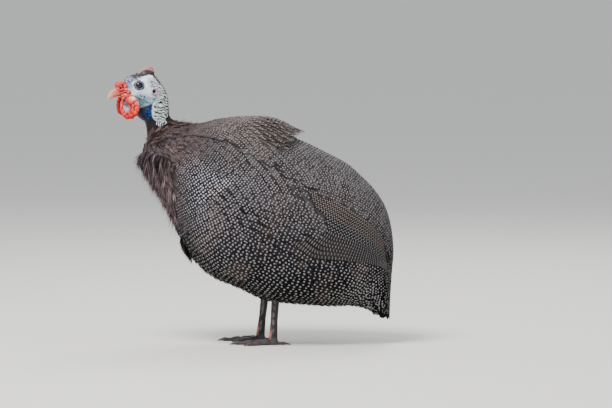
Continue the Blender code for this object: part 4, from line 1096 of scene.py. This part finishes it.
TABLE_PLACES = np.linspace(0.0, len(TRUNK) - 1.0, 201)
TABLE_ANGLES = np.linspace(0.0, 360.0, 361)


def arc_table():
    """For each place down the trunk: the length round the section up to each angle."""
    place, angle = np.meshgrid(TABLE_PLACES, TABLE_ANGLES, indexing="ij")
    steps = np.linalg.norm(np.diff(surface(TRUNK, place, angle), axis=1), axis=-1)
    return np.concatenate([np.zeros((len(TABLE_PLACES), 1)), np.cumsum(steps, axis=1)], axis=1)


ARC = arc_table()
SHARES = np.linspace(0.0, 1.0, 361)
ANGLE_OF_SHARE = np.stack([np.interp(SHARES, row / row[-1], TABLE_ANGLES) for row in ARC])


def between(table, place, share):
    """Reads a table of places and shares at any point by mixing its four neighbours."""
    row = np.clip(place, 0, len(TRUNK) - 1.0) / TABLE_PLACES[1]
    column = (share % 1.0) * 360
    low, left = np.minimum(row.astype(int), 199), np.minimum(column.astype(int), 359)
    part, side = row - low, column - left
    upper = table[low, left] * (1 - side) + table[low, left + 1] * side
    lower = table[low + 1, left] * (1 - side) + table[low + 1, left + 1] * side
    return upper * (1 - part) + lower * part


class TrunkChart:
    """Coordinates over the trunk: the place down its length, and the share of the way round by arc length."""

    closed = True

    @staticmethod
    def spot(spots):
        return np.stack([spots[..., 0], between(ANGLE_OF_SHARE, spots[..., 0], spots[..., 1])], axis=-1)

    @staticmethod
    def girth(place):
        return np.interp(place, TABLE_PLACES, ARC[:, -1])


def beside(angle):
    """The angle from the back, the same on both sides."""
    return np.minimum(angle % 360, 360 - angle % 360)


FLIGHT_PLACES = (11.0, 12.5, 14.0, 15.3, 16.4, 17.2, 17.8)
FLIGHT_UPPER = (60.0, 56.0, 53.0, 50.0, 45.5, 43.0, 43.0)
FLIGHT_LOWER = (86.0, 95.0, 97.0, 90.0, 78.0, 60.0, 48.0)


class FlightChart:
    """Coordinates over one wing's long feathers: the trunk place, and the share down from their upper edge."""

    def __init__(self, side):
        self.right = side == "right"

    def spot(self, spots):
        upper = np.interp(spots[..., 0], FLIGHT_PLACES, FLIGHT_UPPER)
        lower = np.interp(spots[..., 0], FLIGHT_PLACES, FLIGHT_LOWER)
        angle = upper + spots[..., 1] * (lower - upper)
        return np.stack([spots[..., 0], 360 - angle if self.right else angle], axis=-1)


def on_panel(place, angle, margin=0.0):
    """Where the long wing feathers show behind the ends of the spotted coverts."""
    upper, lower = np.interp(place, FLIGHT_PLACES, FLIGHT_UPPER), np.interp(place, FLIGHT_PLACES, FLIGHT_LOWER)
    down = (beside(angle) - upper) / (lower - upper)
    start = np.interp(down, (0.0, 0.35, 0.5, 0.62, 0.75, 0.9, 1.0), (11.4, 12.2, 13.5, 14.0, 13.8, 13.1, 12.7))
    return (place > start + margin) & (place < 17.5) & (down > 0.02) & (down < 0.98)


def on_back(place, angle, margin=0.0):
    """Where the mantle, back and rump carry finer spots: above a wavy line that falls towards the tail."""
    edge = np.interp(place, (5.0, 8.0, 12.0, 14.0, 16.0, 17.5, 18.5, 19.8),
                     (76.0, 66.0, 58.0, 55.5, 49.0, 46.0, 60.0, 84.0))
    wander = (2.5 * np.sin(6.1 * place) + 1.5 * np.sin(14.3 * place + 1.0)) * step(-place, -11.5, -10.5)
    return beside(angle) < edge + wander + margin


def plain_edge(angle):
    """How far down the trunk the feathers stay plain, by the angle from the back."""
    return np.interp(beside(angle), (0, 24, 58, 78, 98, 112, 125, 140, 160, 180),
                     (5.7, 5.7, 5.6, 6.55, 6.8, 6.95, 7.75, 8.55, 8.95, 9.1))


def wing_relief(place, angle):
    """The folded wing under its coverts stands off the flank, and sinks to the long feathers' height at their end."""
    aside = beside(angle)
    upper = np.interp(place, (8.0, 12.0, 14.0), (60.0, 57.0, 53.0))
    lower = np.interp(place, (8.0, 10.0, 12.0, 14.0), (98.0, 103.0, 100.0, 97.0))
    share = step(aside, upper + 2.0, upper + 18.0) * step(-aside, -lower - 12.0, -lower + 20.0)
    return 1.6 * share * step(place, 7.4, 10.0) * step(-place, -14.8, -13.2)


def mantle_relief(place, angle):
    """The mantle's hind edge stands high over the rump."""
    return 12.0 * step(place, 6.8, 8.7) * step(-beside(angle), -50.0, -10.0)


def under_fold(points):
    """How far points lie under the line where the neck's feathers fold over the ruff, in the side view."""
    line = np.interp(points[..., 0], (-146.0, -134.6, -120.3, -111.2, -102.1, -90.4, -78.0),
                     (246.0, 254.8, 253.2, 251.4, 245.7, 235.3, 222.0))
    return line - points[..., 2]


def ruff_relief(place, angle):
    """A hollow along the fold, and the rounded roll of the ruff under it."""
    points = surface(TRUNK, place, angle)
    below = under_fold(points)
    near = step(beside(angle), 40.0, 70.0) * step(-points[..., 0], 84.0, 98.0)
    return near * (3.4 * bump(below - 13.0, 10.0) - 4.2 * bump(below - 1.0, 4.0) + 2.4 * bump(below + 8.0, 5.0))


def coat_tint(place, angle, rng):
    """The vanes' ground: slate on the flanks, browner over the back, with warm brown patches; painted shade darkens it
    to near black below, and painted shadow darkens a few feathers at random.
    """
    points = surface(TRUNK, place, angle)
    belly, slate, brown, warm = (np.array(srgb(*colour)) for colour in ((12, 10, 11), (50, 47, 53), (95, 85, 82),
                                                                        (76, 60, 55)))
    height = step(points[:, 2], 60.0, 185.0)[:, None]
    back = (step(-beside(angle), -104.0, -36.0) * step(points[:, 2], 90.0, 170.0))[:, None]
    # Painted shade: the ground darkens to near black towards the belly.
    tint = belly + height * (slate - belly)
    tint = tint + 0.92 * back * (brown - tint)
    patch = step(ripple(points, 46.0, 31), 0.25, 0.9)[:, None]
    tint = tint + 0.6 * patch * (warm - tint)
    rump = (step(place, 8.9, 9.8) * step(-beside(angle), -90.0, -50.0))[:, None]
    tint = tint * (1 - rump * (0.30, 0.26, 0.18))
    vent = (step(place, 13.0, 14.5) * step(beside(angle), 96.0, 120.0))[:, None]
    tint = tint * (1 - 0.22 * vent)
    front = step(plain_edge(angle) + 2.2 - place, 0.0, 2.6)[:, None]
    tint = tint + front * (np.array(srgb(84, 72, 73)) - tint)
    tint = tint * (1 + 0.14 * ripple(points * (1.0, 1.0, 1.6), 26.0, 33))[:, None]
    # Painted shadow: a few feathers picked at random are darkened.
    dark = 1 - 0.45 * (rng.uniform(size=(len(place), 1)) < 0.06)
    return tint * dark * rng.uniform(0.76, 1.24, (len(place), 1))


def coat_piece(name, feathers, tint, pearls=None, marking=None, slot="body_feather", length=1.0):
    """One piece from a group of feathers and, in a second finish, its pearls."""
    points, faces, uv = feathers.mesh()
    colours = tint[feathers.per_point]
    edge = (0.82 + 0.18 * (1 - np.abs(feathers.across_per_point)))[:, None]
    colours = colours * edge
    marks = np.zeros(len(faces), np.int32)
    if pearls is not None:
        extra, extra_faces, extra_uv = feathers.pearls(*pearls, length=length)
        marks = np.concatenate([marks, np.ones(len(extra_faces), np.int32)])
        faces = np.concatenate([faces, np.where(extra_faces >= 0, extra_faces + len(points), -1)])
        points = np.concatenate([points, extra])
        uv = np.concatenate([uv, extra_uv])
        colours = np.concatenate([colours, np.ones((len(extra), 3)) * 0.6])
    made = mesh_piece(name, points, faces, uv, colours, [VANE_FINISH, marking or PEARL_FINISH], marks)
    settle(made, slot)
    return made


class Coat:
    """Staggered rows of feathers on a chart, and a lattice of spots set on whichever feather lies uppermost.

    Each row's tips lie at one place. The feathers of a row stand evenly across the chart, half a pitch aside from
    those of the row before, and every row lies over the one behind it.
    """

    def __init__(self, chart, tips, pitch, keep, reach, jitter=0.0, **shape):
        self.chart, self.tips = chart, np.asarray(tips, float)
        self.counts = np.maximum(np.round(chart.girth(self.tips) / pitch).astype(int), 3)
        self.shifts = 0.5 * (np.arange(len(self.tips)) % 2) + (0.0 if chart.closed else 0.25)
        self.starts = np.concatenate([[0], np.cumsum(self.counts)[:-1]])
        row = np.repeat(np.arange(len(self.tips)), self.counts)
        share = (np.arange(self.counts.sum()) - self.starts[row] + self.shifts[row]) / self.counts[row]
        tip = np.stack([self.tips[row], share], axis=-1)
        kept = keep(*chart.spot(tip).T) & (chart.closed | (share < 1.0))
        self.index = np.where(kept, np.cumsum(kept) - 1, -1)
        tip = tip[kept]
        root = tip - (reach, 0.0)
        tip = tip + RNG.normal(0, jitter, (len(tip), 1)) * (1.0, 0.0)
        width = 0.68 * self.chart.girth(tip[:, 0]) / self.counts[row[kept]]
        self.feathers = Feathers(root, tip, width, layout=chart.spot, **shape)
        self.tip_spots = chart.spot(tip).T

    def spots(self, rows, pitch, radius, keep, wander=0.0):
        """Lattice points: which feather carries each, the shares along and across it, and the spot's radius.

        Along a row the points stand apart by a pitch that may change from the back round to the under side: each is
        where the sum of one over the pitch reaches its number.
        """
        grid = np.linspace(0.0, 1.0, 241)
        numbers, shares = [], []
        for number, place in enumerate(rows):
            density = self.chart.girth(place) / pitch(place, 1 - np.abs(2 * grid - 1))
            filled = np.concatenate([[0.0], np.cumsum(density[1:] + density[:-1]) / 480])
            count = max(round(filled[-1]), 3)
            numbers.append(np.full(count, number))
            shares.append(np.interp((np.arange(count) + 0.5 * (number % 2) + 0.25) / count * filled[-1], filled, grid))
        row, share = np.concatenate(numbers), np.concatenate(shares)
        counts = np.bincount(row)
        place = rows[row]
        gap = rows[1] - rows[0]
        place = place + wander * gap * np.sin(2 * math.pi * (share * 7.0 + 0.31 * place)) + RNG.normal(0, 0.07 * gap, len(place))
        share = share + RNG.normal(0, 0.06, len(share)) / counts[row]
        spot = self.chart.spot(np.stack([place, share], axis=-1))
        chosen = keep(spot[:, 0], spot[:, 1])
        place, share, spot = place[chosen], share[chosen], spot[chosen]
        size = radius(spot[:, 0], spot[:, 1]) * RNG.uniform(0.86, 1.14, len(place))
        which = np.full(len(place), -1)
        along, across = np.zeros(len(place)), np.zeros(len(place))
        front = np.searchsorted(self.tips, place + 0.1 * gap, side="right")
        for later in range(6):
            line = np.minimum(front + later, len(self.tips) - 1)
            number = np.round(share * self.counts[line] - self.shifts[line])
            offset = share - (number + self.shifts[line]) / self.counts[line]
            if self.chart.closed:
                number = number % self.counts[line]
            inside = (number >= 0) & (number < self.counts[line])
            feather = self.index[self.starts[line] + np.clip(number, 0, self.counts[line] - 1).astype(int)]
            root, tip = self.feathers.root[feather, 0], self.feathers.tip[feather, 0]
            part = (place - root) / (tip - root)
            half = self.feathers.width[feather] * self.feathers.outline(np.clip(part, 0, 1))
            distance = offset * self.chart.girth(place)
            fits = (np.abs(distance) + 0.4 * size < half) & (part > 0.08) & (part < 0.985)
            take = (which < 0) & inside & (feather >= 0) & fits & (front + later < len(self.tips))
            which = np.where(take, feather, which)
            along = np.where(take, part, along)
            across = np.where(take, distance / np.maximum(half, 0.1), across)
        found = which >= 0
        return which[found], along[found], across[found], size[found]


def split_coat(coat, pearls, groups, slot="body_feather"):
    """Pieces of one coat: each takes the feathers whose tips pass its test, with their spots."""
    which, along, across, size = pearls
    feathers = coat.feathers
    for name, test, marking in groups:
        chosen = test(*coat.tip_spots)
        renumbered = np.cumsum(chosen) - 1
        held = chosen[which]
        tint = coat_tint(*coat.tip_spots[:, chosen], RNG)
        coat_piece(name, feathers.only(chosen), tint, (renumbered[which[held]], along[held], across[held], size[held]),
                   marking, slot)


def spot_rows(low, high, first, last):
    """Places of lattice rows whose gap grows evenly from the first to the last between two places."""
    rows = [low]
    while rows[-1] < high:
        rows.append(rows[-1] + np.interp(rows[-1], (7.0, 14.0), (first, last)))
    return np.array(rows)


def make_body_feathers():
    """The trunk's small feathers: spots that grow from the back down to the belly, fine ones over back and rump."""
    chart = TrunkChart()
    shape = {"lifts": (-3.0, 0.2, 0.7), "camber": 0.04, "thick": 0.25}

    def flank(place, angle):
        return ~on_panel(place, angle) & ~on_back(place, angle) & (place > plain_edge(angle))

    def flank_pitch(place, under):
        along = np.interp(place, (6.5, 9.5, 13.0), (0.82, 0.9, 1.04))
        first = np.interp(place - plain_edge(180 * under), (0.2, 2.2), (0.84, 1.0))
        return along * first * np.interp(under, (0.3, 0.45, 0.6, 0.75, 1.0), (3.2, 3.6, 4.2, 4.9, 5.2))

    def flank_radius(place, angle):
        grown = 0.38 + 0.62 * step(place - plain_edge(angle), 0.0, 2.4)
        breast = np.interp(place, (6.5, 9.5, 13.0), (0.92, 0.98, 1.0))
        end = 1 - 0.45 * step(place, 18.8, 19.8)
        return end * breast * np.interp(beside(angle), (58, 80, 100, 125), (0.92, 1.10, 1.32, 1.55)) * grown

    coat = Coat(chart, np.arange(4.9, 20.4, 0.40), 11.0, lambda place, angle:
                ~on_panel(place - 0.12, angle) & ~on_back(place, angle, -9.0), 1.1, 0.02, relief=wing_relief, **shape)
    pearls = coat.spots(spot_rows(5.0, 20.0, 0.118, 0.166), flank_pitch, flank_radius, flank, 0.3)
    split_coat(coat, pearls, (
        ("covert_feathers", lambda place, angle: (beside(angle) < 92) & (place < 13.4), COVERT_FINISH),
        ("breast_feathers", lambda place, angle: (beside(angle) >= 92) & (place < 9.4), PEARL_FINISH),
        ("belly_feathers", lambda place, angle: (beside(angle) >= 92) & (place >= 9.4) & (place < 13.4), SHADED_BELLY_FINISH),
        ("vent_feathers", lambda place, angle: place >= 13.4, SHADED_BELLY_FINISH)))

    def back_radius(place, angle):
        return 0.95 * (0.55 + 0.45 * step(place - plain_edge(angle), 0.0, 1.6))

    for name, low, high, relief in (("mantle_feathers", 4.9, 9.35, mantle_relief), ("rump_feathers", 8.5, 20.4, None)):
        coat = Coat(chart, np.arange(low, high, 0.31), 8.6, on_back, 0.85, 0.03, relief=relief, lifts=(-2.6, 0.9, 1.4),
                    camber=0.04, thick=0.25)
        pearls = coat.spots(np.arange(low, min(high, 20.0), 0.134), lambda place, under: 3.7 + 0.0 * under, back_radius,
                            lambda place, angle: on_back(place, angle, 9.5) & (place > plain_edge(angle)), 0.35)
        marking = BACK_FINISH if relief else COVERT_FINISH
        split_coat(coat, pearls, ((name, lambda place, angle: place > 0, marking),))


def make_wing_feathers():
    """Each wing's long feathers in strips from under the coverts: finely spotted, spotted in rows, then barred."""
    count = 15
    order = np.arange(count) / (count - 1)
    down = (np.arange(count) + 0.35) / count
    root = np.stack([np.full(count, 10.9), down], axis=-1)
    tip = np.stack([np.interp(order, (0, 0.3, 0.6, 1), (16.3, 16.8, 17.4, 17.75)), down], axis=-1)
    ground = np.stack([np.interp(order, (0, 0.28, 0.36, 1), level) for level in (
        (0.056, 0.052, 0.024, 0.036), (0.043, 0.040, 0.023, 0.031), (0.039, 0.036, 0.025, 0.029))], axis=-1)
    for side, sign in (("left", 1.0), ("right", -1.0)):
        chart = FlightChart(side)
        shape = {"lifts": (-2.0, 1.2, 1.7), "blunt": 0.9, "camber": 0.05, "thick": 0.4, "lean": 0.16 * sign,
                 "layout": chart.spot, "taper": 0.5, "rings": 30}
        for name, low, high, gap, lanes, radius, marking, length in (
                ("tertials", 0.0, 0.3, 0.0235, (0.2, 0.72), 0.85, BACK_FINISH, 1.0),
                ("inner_secondaries", 0.3, 0.52, 0.025, (0.12, 0.66), 0.98, COVERT_FINISH, 1.0),
                ("secondaries", 0.52, 1.1, 0.0170, (0.22,), 3.7, BAR_FINISH, 0.13)):
            held = (order >= low) & (order < high)
            feathers = Feathers(root[held], tip[held], 5.0, **shape)
            shares = np.arange(0.12, 0.985, gap)
            along = np.concatenate([shares + 0.5 * gap * lane for lane in range(len(lanes))])
            which = np.repeat(np.arange(held.sum()), len(along))
            share = np.tile(along, held.sum())
            across = np.tile(np.repeat(lanes, len(shares)), held.sum()) * sign
            size = radius * feathers.outline(share) ** 0.7
            tint = ground[held] * RNG.uniform(0.85, 1.15, (held.sum(), 1))
            inside = share < 0.985
            coat_piece(f"{name}_{side}", feathers, tint, (which[inside], share[inside], across[inside], size[inside]),
                       marking, length=length)


def make_tail_feathers():
    """The long tail feathers, side by side like a roof, spotted in lengthwise rows."""
    angle = np.linspace(-70, 70, 15)
    root = np.stack([np.full(15, 16.9), angle], axis=-1)
    tip = np.stack([20.2 - 0.25 * (angle / 70) ** 2, angle * 0.94], axis=-1)
    feathers = Feathers(root, tip, 7.0, (-6.5, -2.6, -1.2), 0.8, 0.08, 0.5, -0.08 * np.sign(angle + 0.01))
    tint = coat_tint(tip[:, 0], tip[:, 1], RNG)
    shares = np.arange(0.2, 0.97, 0.055)
    which = np.repeat(np.arange(15), 2 * len(shares))
    share = np.tile(np.concatenate([shares, shares + 0.027]), 15)
    across = np.tile(np.repeat([-0.35, 0.45], len(shares)), 15)
    coat_piece("tail_feathers", feathers, tint, (which, share, across, np.full(len(which), 0.95)))


# Hair-like plumes.

def follow(spot, heading, length, steps=9):
    """Paths over the trunk: even steps along a heading field pressed flat onto its surface."""
    path = [spot]
    for _ in range(steps - 1):
        place, angle = spot[:, 0], spot[:, 1]
        base = surface(TRUNK, place, angle)
        onward = (surface(TRUNK, place + 0.02, angle) - base) / 0.02
        around = surface(TRUNK, place, angle + 1.0) - base
        want = unit(heading(base, beside(angle), place)) * (length / (steps - 1))[:, None]
        first, mixed, second = ((u * v).sum(axis=1) for u, v in ((onward, onward), (onward, around), (around, around)))
        ahead, aside = (want * onward).sum(axis=1), (want * around).sum(axis=1)
        scale = first * second - mixed ** 2
        spot = spot + np.stack([second * ahead - mixed * aside, first * aside - mixed * ahead], axis=-1) / scale[:, None]
        path.append(spot)
    return np.stack(path, axis=1)


def scattered(low, high, pitch, keep):
    """Jittered points about a pitch apart over the trunk between two places, where a test holds."""
    places, spots = np.linspace(low, high, int((high - low) * 90) + 1), []
    room = 0.0
    for place in places:
        lengths = np.linalg.norm(surface(TRUNK, place + 0.011, 90) - surface(TRUNK, place, 90))
        room += lengths
        if room < pitch:
            continue
        room = 0.0
        count = max(int(TrunkChart.girth(place) / pitch), 6)
        share = (np.arange(count) + RNG.uniform(-0.35, 0.35, count) + RNG.uniform()) / count
        spots.append(np.stack([place + RNG.uniform(-0.06, 0.06, count), share], axis=-1))
    spots = TrunkChart.spot(np.concatenate(spots))
    return spots[keep(spots[:, 0], beside(spots[:, 1]))]


def plume_piece(name, spots, heading, length, lifts, colours, strands=7, spread=2.6, half_width=0.62, slot="ruff_feather",
                relief=None, gather=0.75, stray=0.0):
    """Locks of fine tapering strands, three-sided, that draw together towards the tip of their lock.

    A strand's middle line is its lock's path over the trunk, moved aside by an offset that shrinks along it, and
    raised by a lift growing with the square of the share; its width follows the sine of the share, to a fine point.
    """
    locks = len(spots)
    length = length * RNG.uniform(0.7, 1.3, locks)
    path = follow(spots, heading, length)
    steps, rings = path.shape[1], 6
    lock = np.repeat(np.arange(locks), strands)
    count = len(lock)
    share = np.linspace(0, 1, rings)[None, :] * RNG.uniform(0.75, 1.0, (count, 1)) + RNG.uniform(0, 0.12, (count, 1))
    row = np.clip(share * (steps - 1), 0, steps - 1.001)
    low = row.astype(int)
    part = (row - low)[..., None]
    spot = path[lock[:, None], low] * (1 - part) + path[lock[:, None], low + 1] * part
    place, angle = spot[..., 0], spot[..., 1]
    normal = normals(TRUNK, place, angle)
    middle = surface(TRUNK, place, angle)
    ahead = unit(np.gradient(middle, axis=1))
    across = unit(np.cross(ahead, normal))
    offset = RNG.uniform(-spread, spread, (count, 1)) * (1 - gather * share)
    height = lifts[0] + (lifts[1] - lifts[0]) * share ** 1.5 + RNG.uniform(-0.5, 0.5, (count, 1)) * (0.4 + share)
    height = height + stray * RNG.uniform(0, 1, (count, 1)) ** 7 * share ** 2
    if relief is not None:
        height = height + relief(place, angle)
    wave = 0.25 * np.sin(7.0 * share + RNG.uniform(0, 6.3, (count, 1)))
    middle = middle + (offset + wave)[..., None] * across + height[..., None] * normal
    width = half_width * RNG.uniform(0.7, 1.2, (count, 1)) * (np.sin(math.pi * (0.25 + 0.74 * np.linspace(0, 1, rings))) + 0.02)
    left = middle - width[..., None] * across
    right = middle + width[..., None] * across
    ridge = middle + 0.7 * width[..., None] * normal
    points = np.stack([left, ridge, right], axis=2).reshape(-1, 3)
    body = grid_faces(rings, 3)
    ends = np.array([(2, 1, 0, -1), (3 * rings - 3, 3 * rings - 2, 3 * rings - 1, -1)])
    one = np.concatenate([body, ends])
    faces = np.where(one[None] >= 0, one[None] + 3 * rings * np.arange(count)[:, None, None], -1).reshape(-1, 4)
    base = colours(spots, RNG)[lock] * RNG.uniform(0.75, 1.25, (count, 1))
    # Painted shade: each strand darkens towards its root.
    root_shade = 0.2 + 0.8 * step(np.linspace(0, 1, rings), 0.0, 0.5)
    tint = np.repeat((base[:, None] * root_shade[None, :, None]).reshape(-1, 3), 3, axis=0)
    root = np.repeat(spots[lock], 3 * rings, axis=0)
    along = np.tile(np.repeat(np.linspace(-0.0015, 0.0015, rings), 3), count)
    beside_it = np.tile((-0.001, 0.0, 0.001), count * rings)
    uv = np.stack([(root[:, 0] + NECK_TOP) / len(BODY) + along, (root[:, 1] % 360) / 360 + beside_it], axis=-1)
    made = mesh_piece(name, points, outward(points, faces), uv, tint, [VANE_FINISH])
    settle(made, slot)


def plume_colours(main, light, dark, scale=14.0, seed=51, fold=0.0):
    """A colour rule for locks: a main colour that drifts to a light and a dark one in patches, with painted shade
    darkening them along the fold.
    """
    main, light, dark = (np.array(srgb(*colour)) for colour in (main, light, dark))

    def rule(spots, rng):
        points = surface(TRUNK, spots[:, 0], spots[:, 1])
        wave = 0.6 * ripple(points, scale, seed) + rng.normal(0, 0.75, len(spots))
        colour = main + step(wave, 0.2, 1.0)[:, None] * (light - main)
        colour = colour + step(-wave, 0.2, 1.0)[:, None] * (dark - colour)
        # Painted shade: locks darkened along the fold under the neck's feathers.
        return colour * (1 - fold * bump(under_fold(points) - 1.0, 6.0) * step(-points[:, 0], 84.0, 100.0))[:, None]

    return rule


NECK_FOOT = np.array([-121.0, 0.0, 286.0])


def make_plumes():
    """Hackles down the neck, the hanging ruff, the soft shoulders, and the mantle's loose fringe."""
    def steady(x, z):
        return lambda points, aside, place: np.broadcast_to(np.array([x, 0.0, z]), points.shape)

    def hackle_heading(points, aside, place):
        share = step(aside, 16.0, 44.0) * step(-points[:, 0], 92.0, 112.0)
        return np.stack([0.9 - 1.45 * share, 0.0 * share, -0.4 - 0.5 * share], axis=-1)

    def ruff_heading(points, aside, place):
        return 0.7 * unit(points - NECK_FOOT) * (1.0, 0.5, 1.0) + (0.0, 0.0, -0.9)

    def shoulder_heading(points, aside, place):
        return unit(points - NECK_FOOT) * (1.0, 0.6, 0.5) + (0.25, 0.0, -0.25)

    def under(place, aside, low, high):
        below = under_fold(surface(TRUNK, place, aside))
        return (below > low) & (below < high)

    hackle = plume_colours((74, 58, 56), (144, 122, 114), (44, 33, 34), 6.0)
    ruff = plume_colours((106, 86, 91), (186, 164, 168), (10, 5, 8), 9.0, fold=0.75)
    soft = plume_colours((110, 93, 90), (134, 115, 111), (66, 53, 52), 20.0, fold=0.9)
    grey = plume_colours((112, 101, 98), (146, 136, 130), (68, 60, 58), 12.0)
    limits = (50, 75, 98, 112, 120, 133, 151, 172)
    plume_piece("ruff_plumes", scattered(4.0, 9.4, 3.95, lambda place, aside: (aside > 50) & under(place, aside, -1.0 - 11.0 * (aside > 112), 99.0) & (
        place < np.interp(aside, limits, (5.7, 6.1, 6.35, 6.6, 6.9, 7.6, 8.4, 8.9)) + RNG.normal(0, 0.12, place.shape))),
        ruff_heading, 26.0, (-1.0, 2.8), ruff, relief=ruff_relief, strands=7, spread=2.2, half_width=0.58, gather=0.92,
        stray=11.0)
    plume_piece("shoulder_plumes", scattered(3.1, 7.9, 3.8, lambda place, aside: (aside < 122) & under(
        place, aside, -99.0, -9.0 + 60.0 * (aside > 72) * (place > 5.7)) & (place < np.interp(
        aside, (0, 44, 60, 78, 98, 112, 122), (5.6, 5.6, 6.2, 6.3, 6.4, 6.6, 7.0)) + RNG.normal(0, 0.12, place.shape))),
        shoulder_heading, 17.0, (-1.2, 1.6), soft, relief=ruff_relief, half_width=0.45, strands=8)
    plume_piece("hackle_plumes", scattered(2.0, 5.2, 2.9, lambda place, aside: (aside < 112) & under(
        place, aside, -99.0, -14.0) & (place > 2.6 - 0.6 * (aside < 46)) & (place < np.interp(aside, (0, 40, 80), (3.7, 4.4, 5.2)))), hackle_heading, 19.0, (-1.4, 1.8), hackle, half_width=0.36, spread=2.0,
        strands=8, relief=ruff_relief, gather=0.9, stray=5.0)
    black = plume_colours((26, 20, 22), (96, 88, 90), (12, 9, 10), 9.0)
    plume_piece("belly_fringe", scattered(9.2, 19.0, 6.5, lambda place, aside: aside > 148), steady(0.75, -0.75), 9.0,
                (0.2, 2.2), black, strands=5, half_width=0.34, slot="body_feather", gather=0.6, stray=3.0)
    plume_piece("breast_tuft", scattered(9.9, 10.7, 2.4, lambda place, aside: aside > 166), steady(0.05, -1.0), 16.0,
                (-0.4, 6.5), black, strands=6, half_width=0.4, slot="body_feather", gather=0.9, stray=3.0)
    plume_piece("mantle_fringe", scattered(8.3, 9.25, 3.2, lambda place, aside: aside < 48), steady(0.95, -0.3), 11.0,
                (0.6, 1.6), grey, strands=6, half_width=0.28, slot="body_feather", relief=mantle_relief, gather=0.4)
    plume_piece("rump_fringe", scattered(5.8, 8.6, 7.5, lambda place, aside: aside < 70), steady(0.95, -0.35), 9.0,
                (0.5, 1.3), grey, strands=5, half_width=0.22, slot="body_feather", relief=mantle_relief, gather=0.3)


# Floor, light and camera.

def make_stage():
    size = 250.0
    mesh = bpy.data.meshes.new("floor")
    mesh.from_pydata([(-size, -size, 0), (size, -size, 0), (size, size, 0), (-size, size, 0)], [], [(0, 1, 2, 3)])
    floor = bpy.data.objects.new("floor", mesh)
    bpy.context.scene.collection.objects.link(floor)
    finish = Finish("pale floor", srgb(225, 222, 216), 0.8)
    mesh.materials.append(finish.material)
    world = bpy.data.worlds.new("soft room")
    bpy.context.scene.world = world
    world.use_nodes = True
    world.node_tree.nodes["Background"].inputs[0].default_value = (*srgb(214, 218, 224), 1.0)
    world.node_tree.nodes["Background"].inputs[1].default_value = 1.05
    add_light("key", (-0.7, -1.2, 2.3), 95.0, 1.0)
    add_light("fill", (1.4, -1.5, 0.9), 5.0, 1.4)
    add_light("rim", (0.4, 1.5, 1.8), 24.0, 1.0)


def add_light(name, place, power, size):
    """A square soft light that looks at the bird's middle."""
    data = bpy.data.lights.new(name, "AREA")
    data.energy, data.size = power, size
    made = bpy.data.objects.new(name, data)
    away = np.array(place) - (0.0, 0.0, 0.18)
    made.location = place
    made.rotation_euler = (math.atan2(math.hypot(away[0], away[1]), away[2]), 0.0,
                           math.atan2(away[1], away[0]) + math.pi / 2)
    bpy.context.scene.collection.objects.link(made)


def make_camera():
    """The photo's view: level with the bird's middle from its left side, five metres away, with a long lens."""
    data = bpy.data.cameras.new("camera")
    data.sensor_width, data.lens = 36.0, 226.2
    data.clip_end = 600.0
    camera = bpy.data.objects.new("camera", data)
    camera.location = (0.0722, -5.0, 0.4698)
    camera.rotation_euler = (math.radians(90 - 3.3), 0.0, 0.0)
    bpy.context.scene.collection.objects.link(camera)
    bpy.context.scene.camera = camera


make_camera()
make_stage()
FLESH_FINISH, SCALE_FINISH, EYE_FINISH = flesh_finish(), scale_finish(), eye_finish()
CLAW_FINISH, VANE_FINISH = horn_finish("claw horn"), vane_finish("feather vanes")
PEARL_FINISH, BAR_FINISH = pearl_finish("pearl spots", (166, 167, 174)), pearl_finish("pale bars", (126, 122, 123))
BACK_FINISH, COVERT_FINISH = pearl_finish("back spots", (138, 130, 127)), pearl_finish("covert spots", (131, 129, 131))
# Painted shade: the belly's and vent's spots are dimmer than the flank's.
SHADED_BELLY_FINISH = pearl_finish("shaded belly spots", (128, 126, 127))
make_skin()
horn_piece("bill_upper", UPPER_BILL_STATIONS, "bill_horn", 50, 40, bill_paint)
horn_piece("bill_lower", LOWER_BILL_STATIONS, "bill_horn", 40, 36, bill_paint)
horn_piece("casque", CASQUE_STATIONS, "casque_horn", 50, 60, casque_paint)
make_cere()
make_papillae()
make_bristles()
for side_name, side_sign in (("left", -1), ("right", 1)):
    make_eye(side_name, side_sign)
    make_wattle(side_name, side_sign)
    make_leg(side_name)
make_body_feathers()
make_wing_feathers()
make_tail_feathers()
make_plumes()
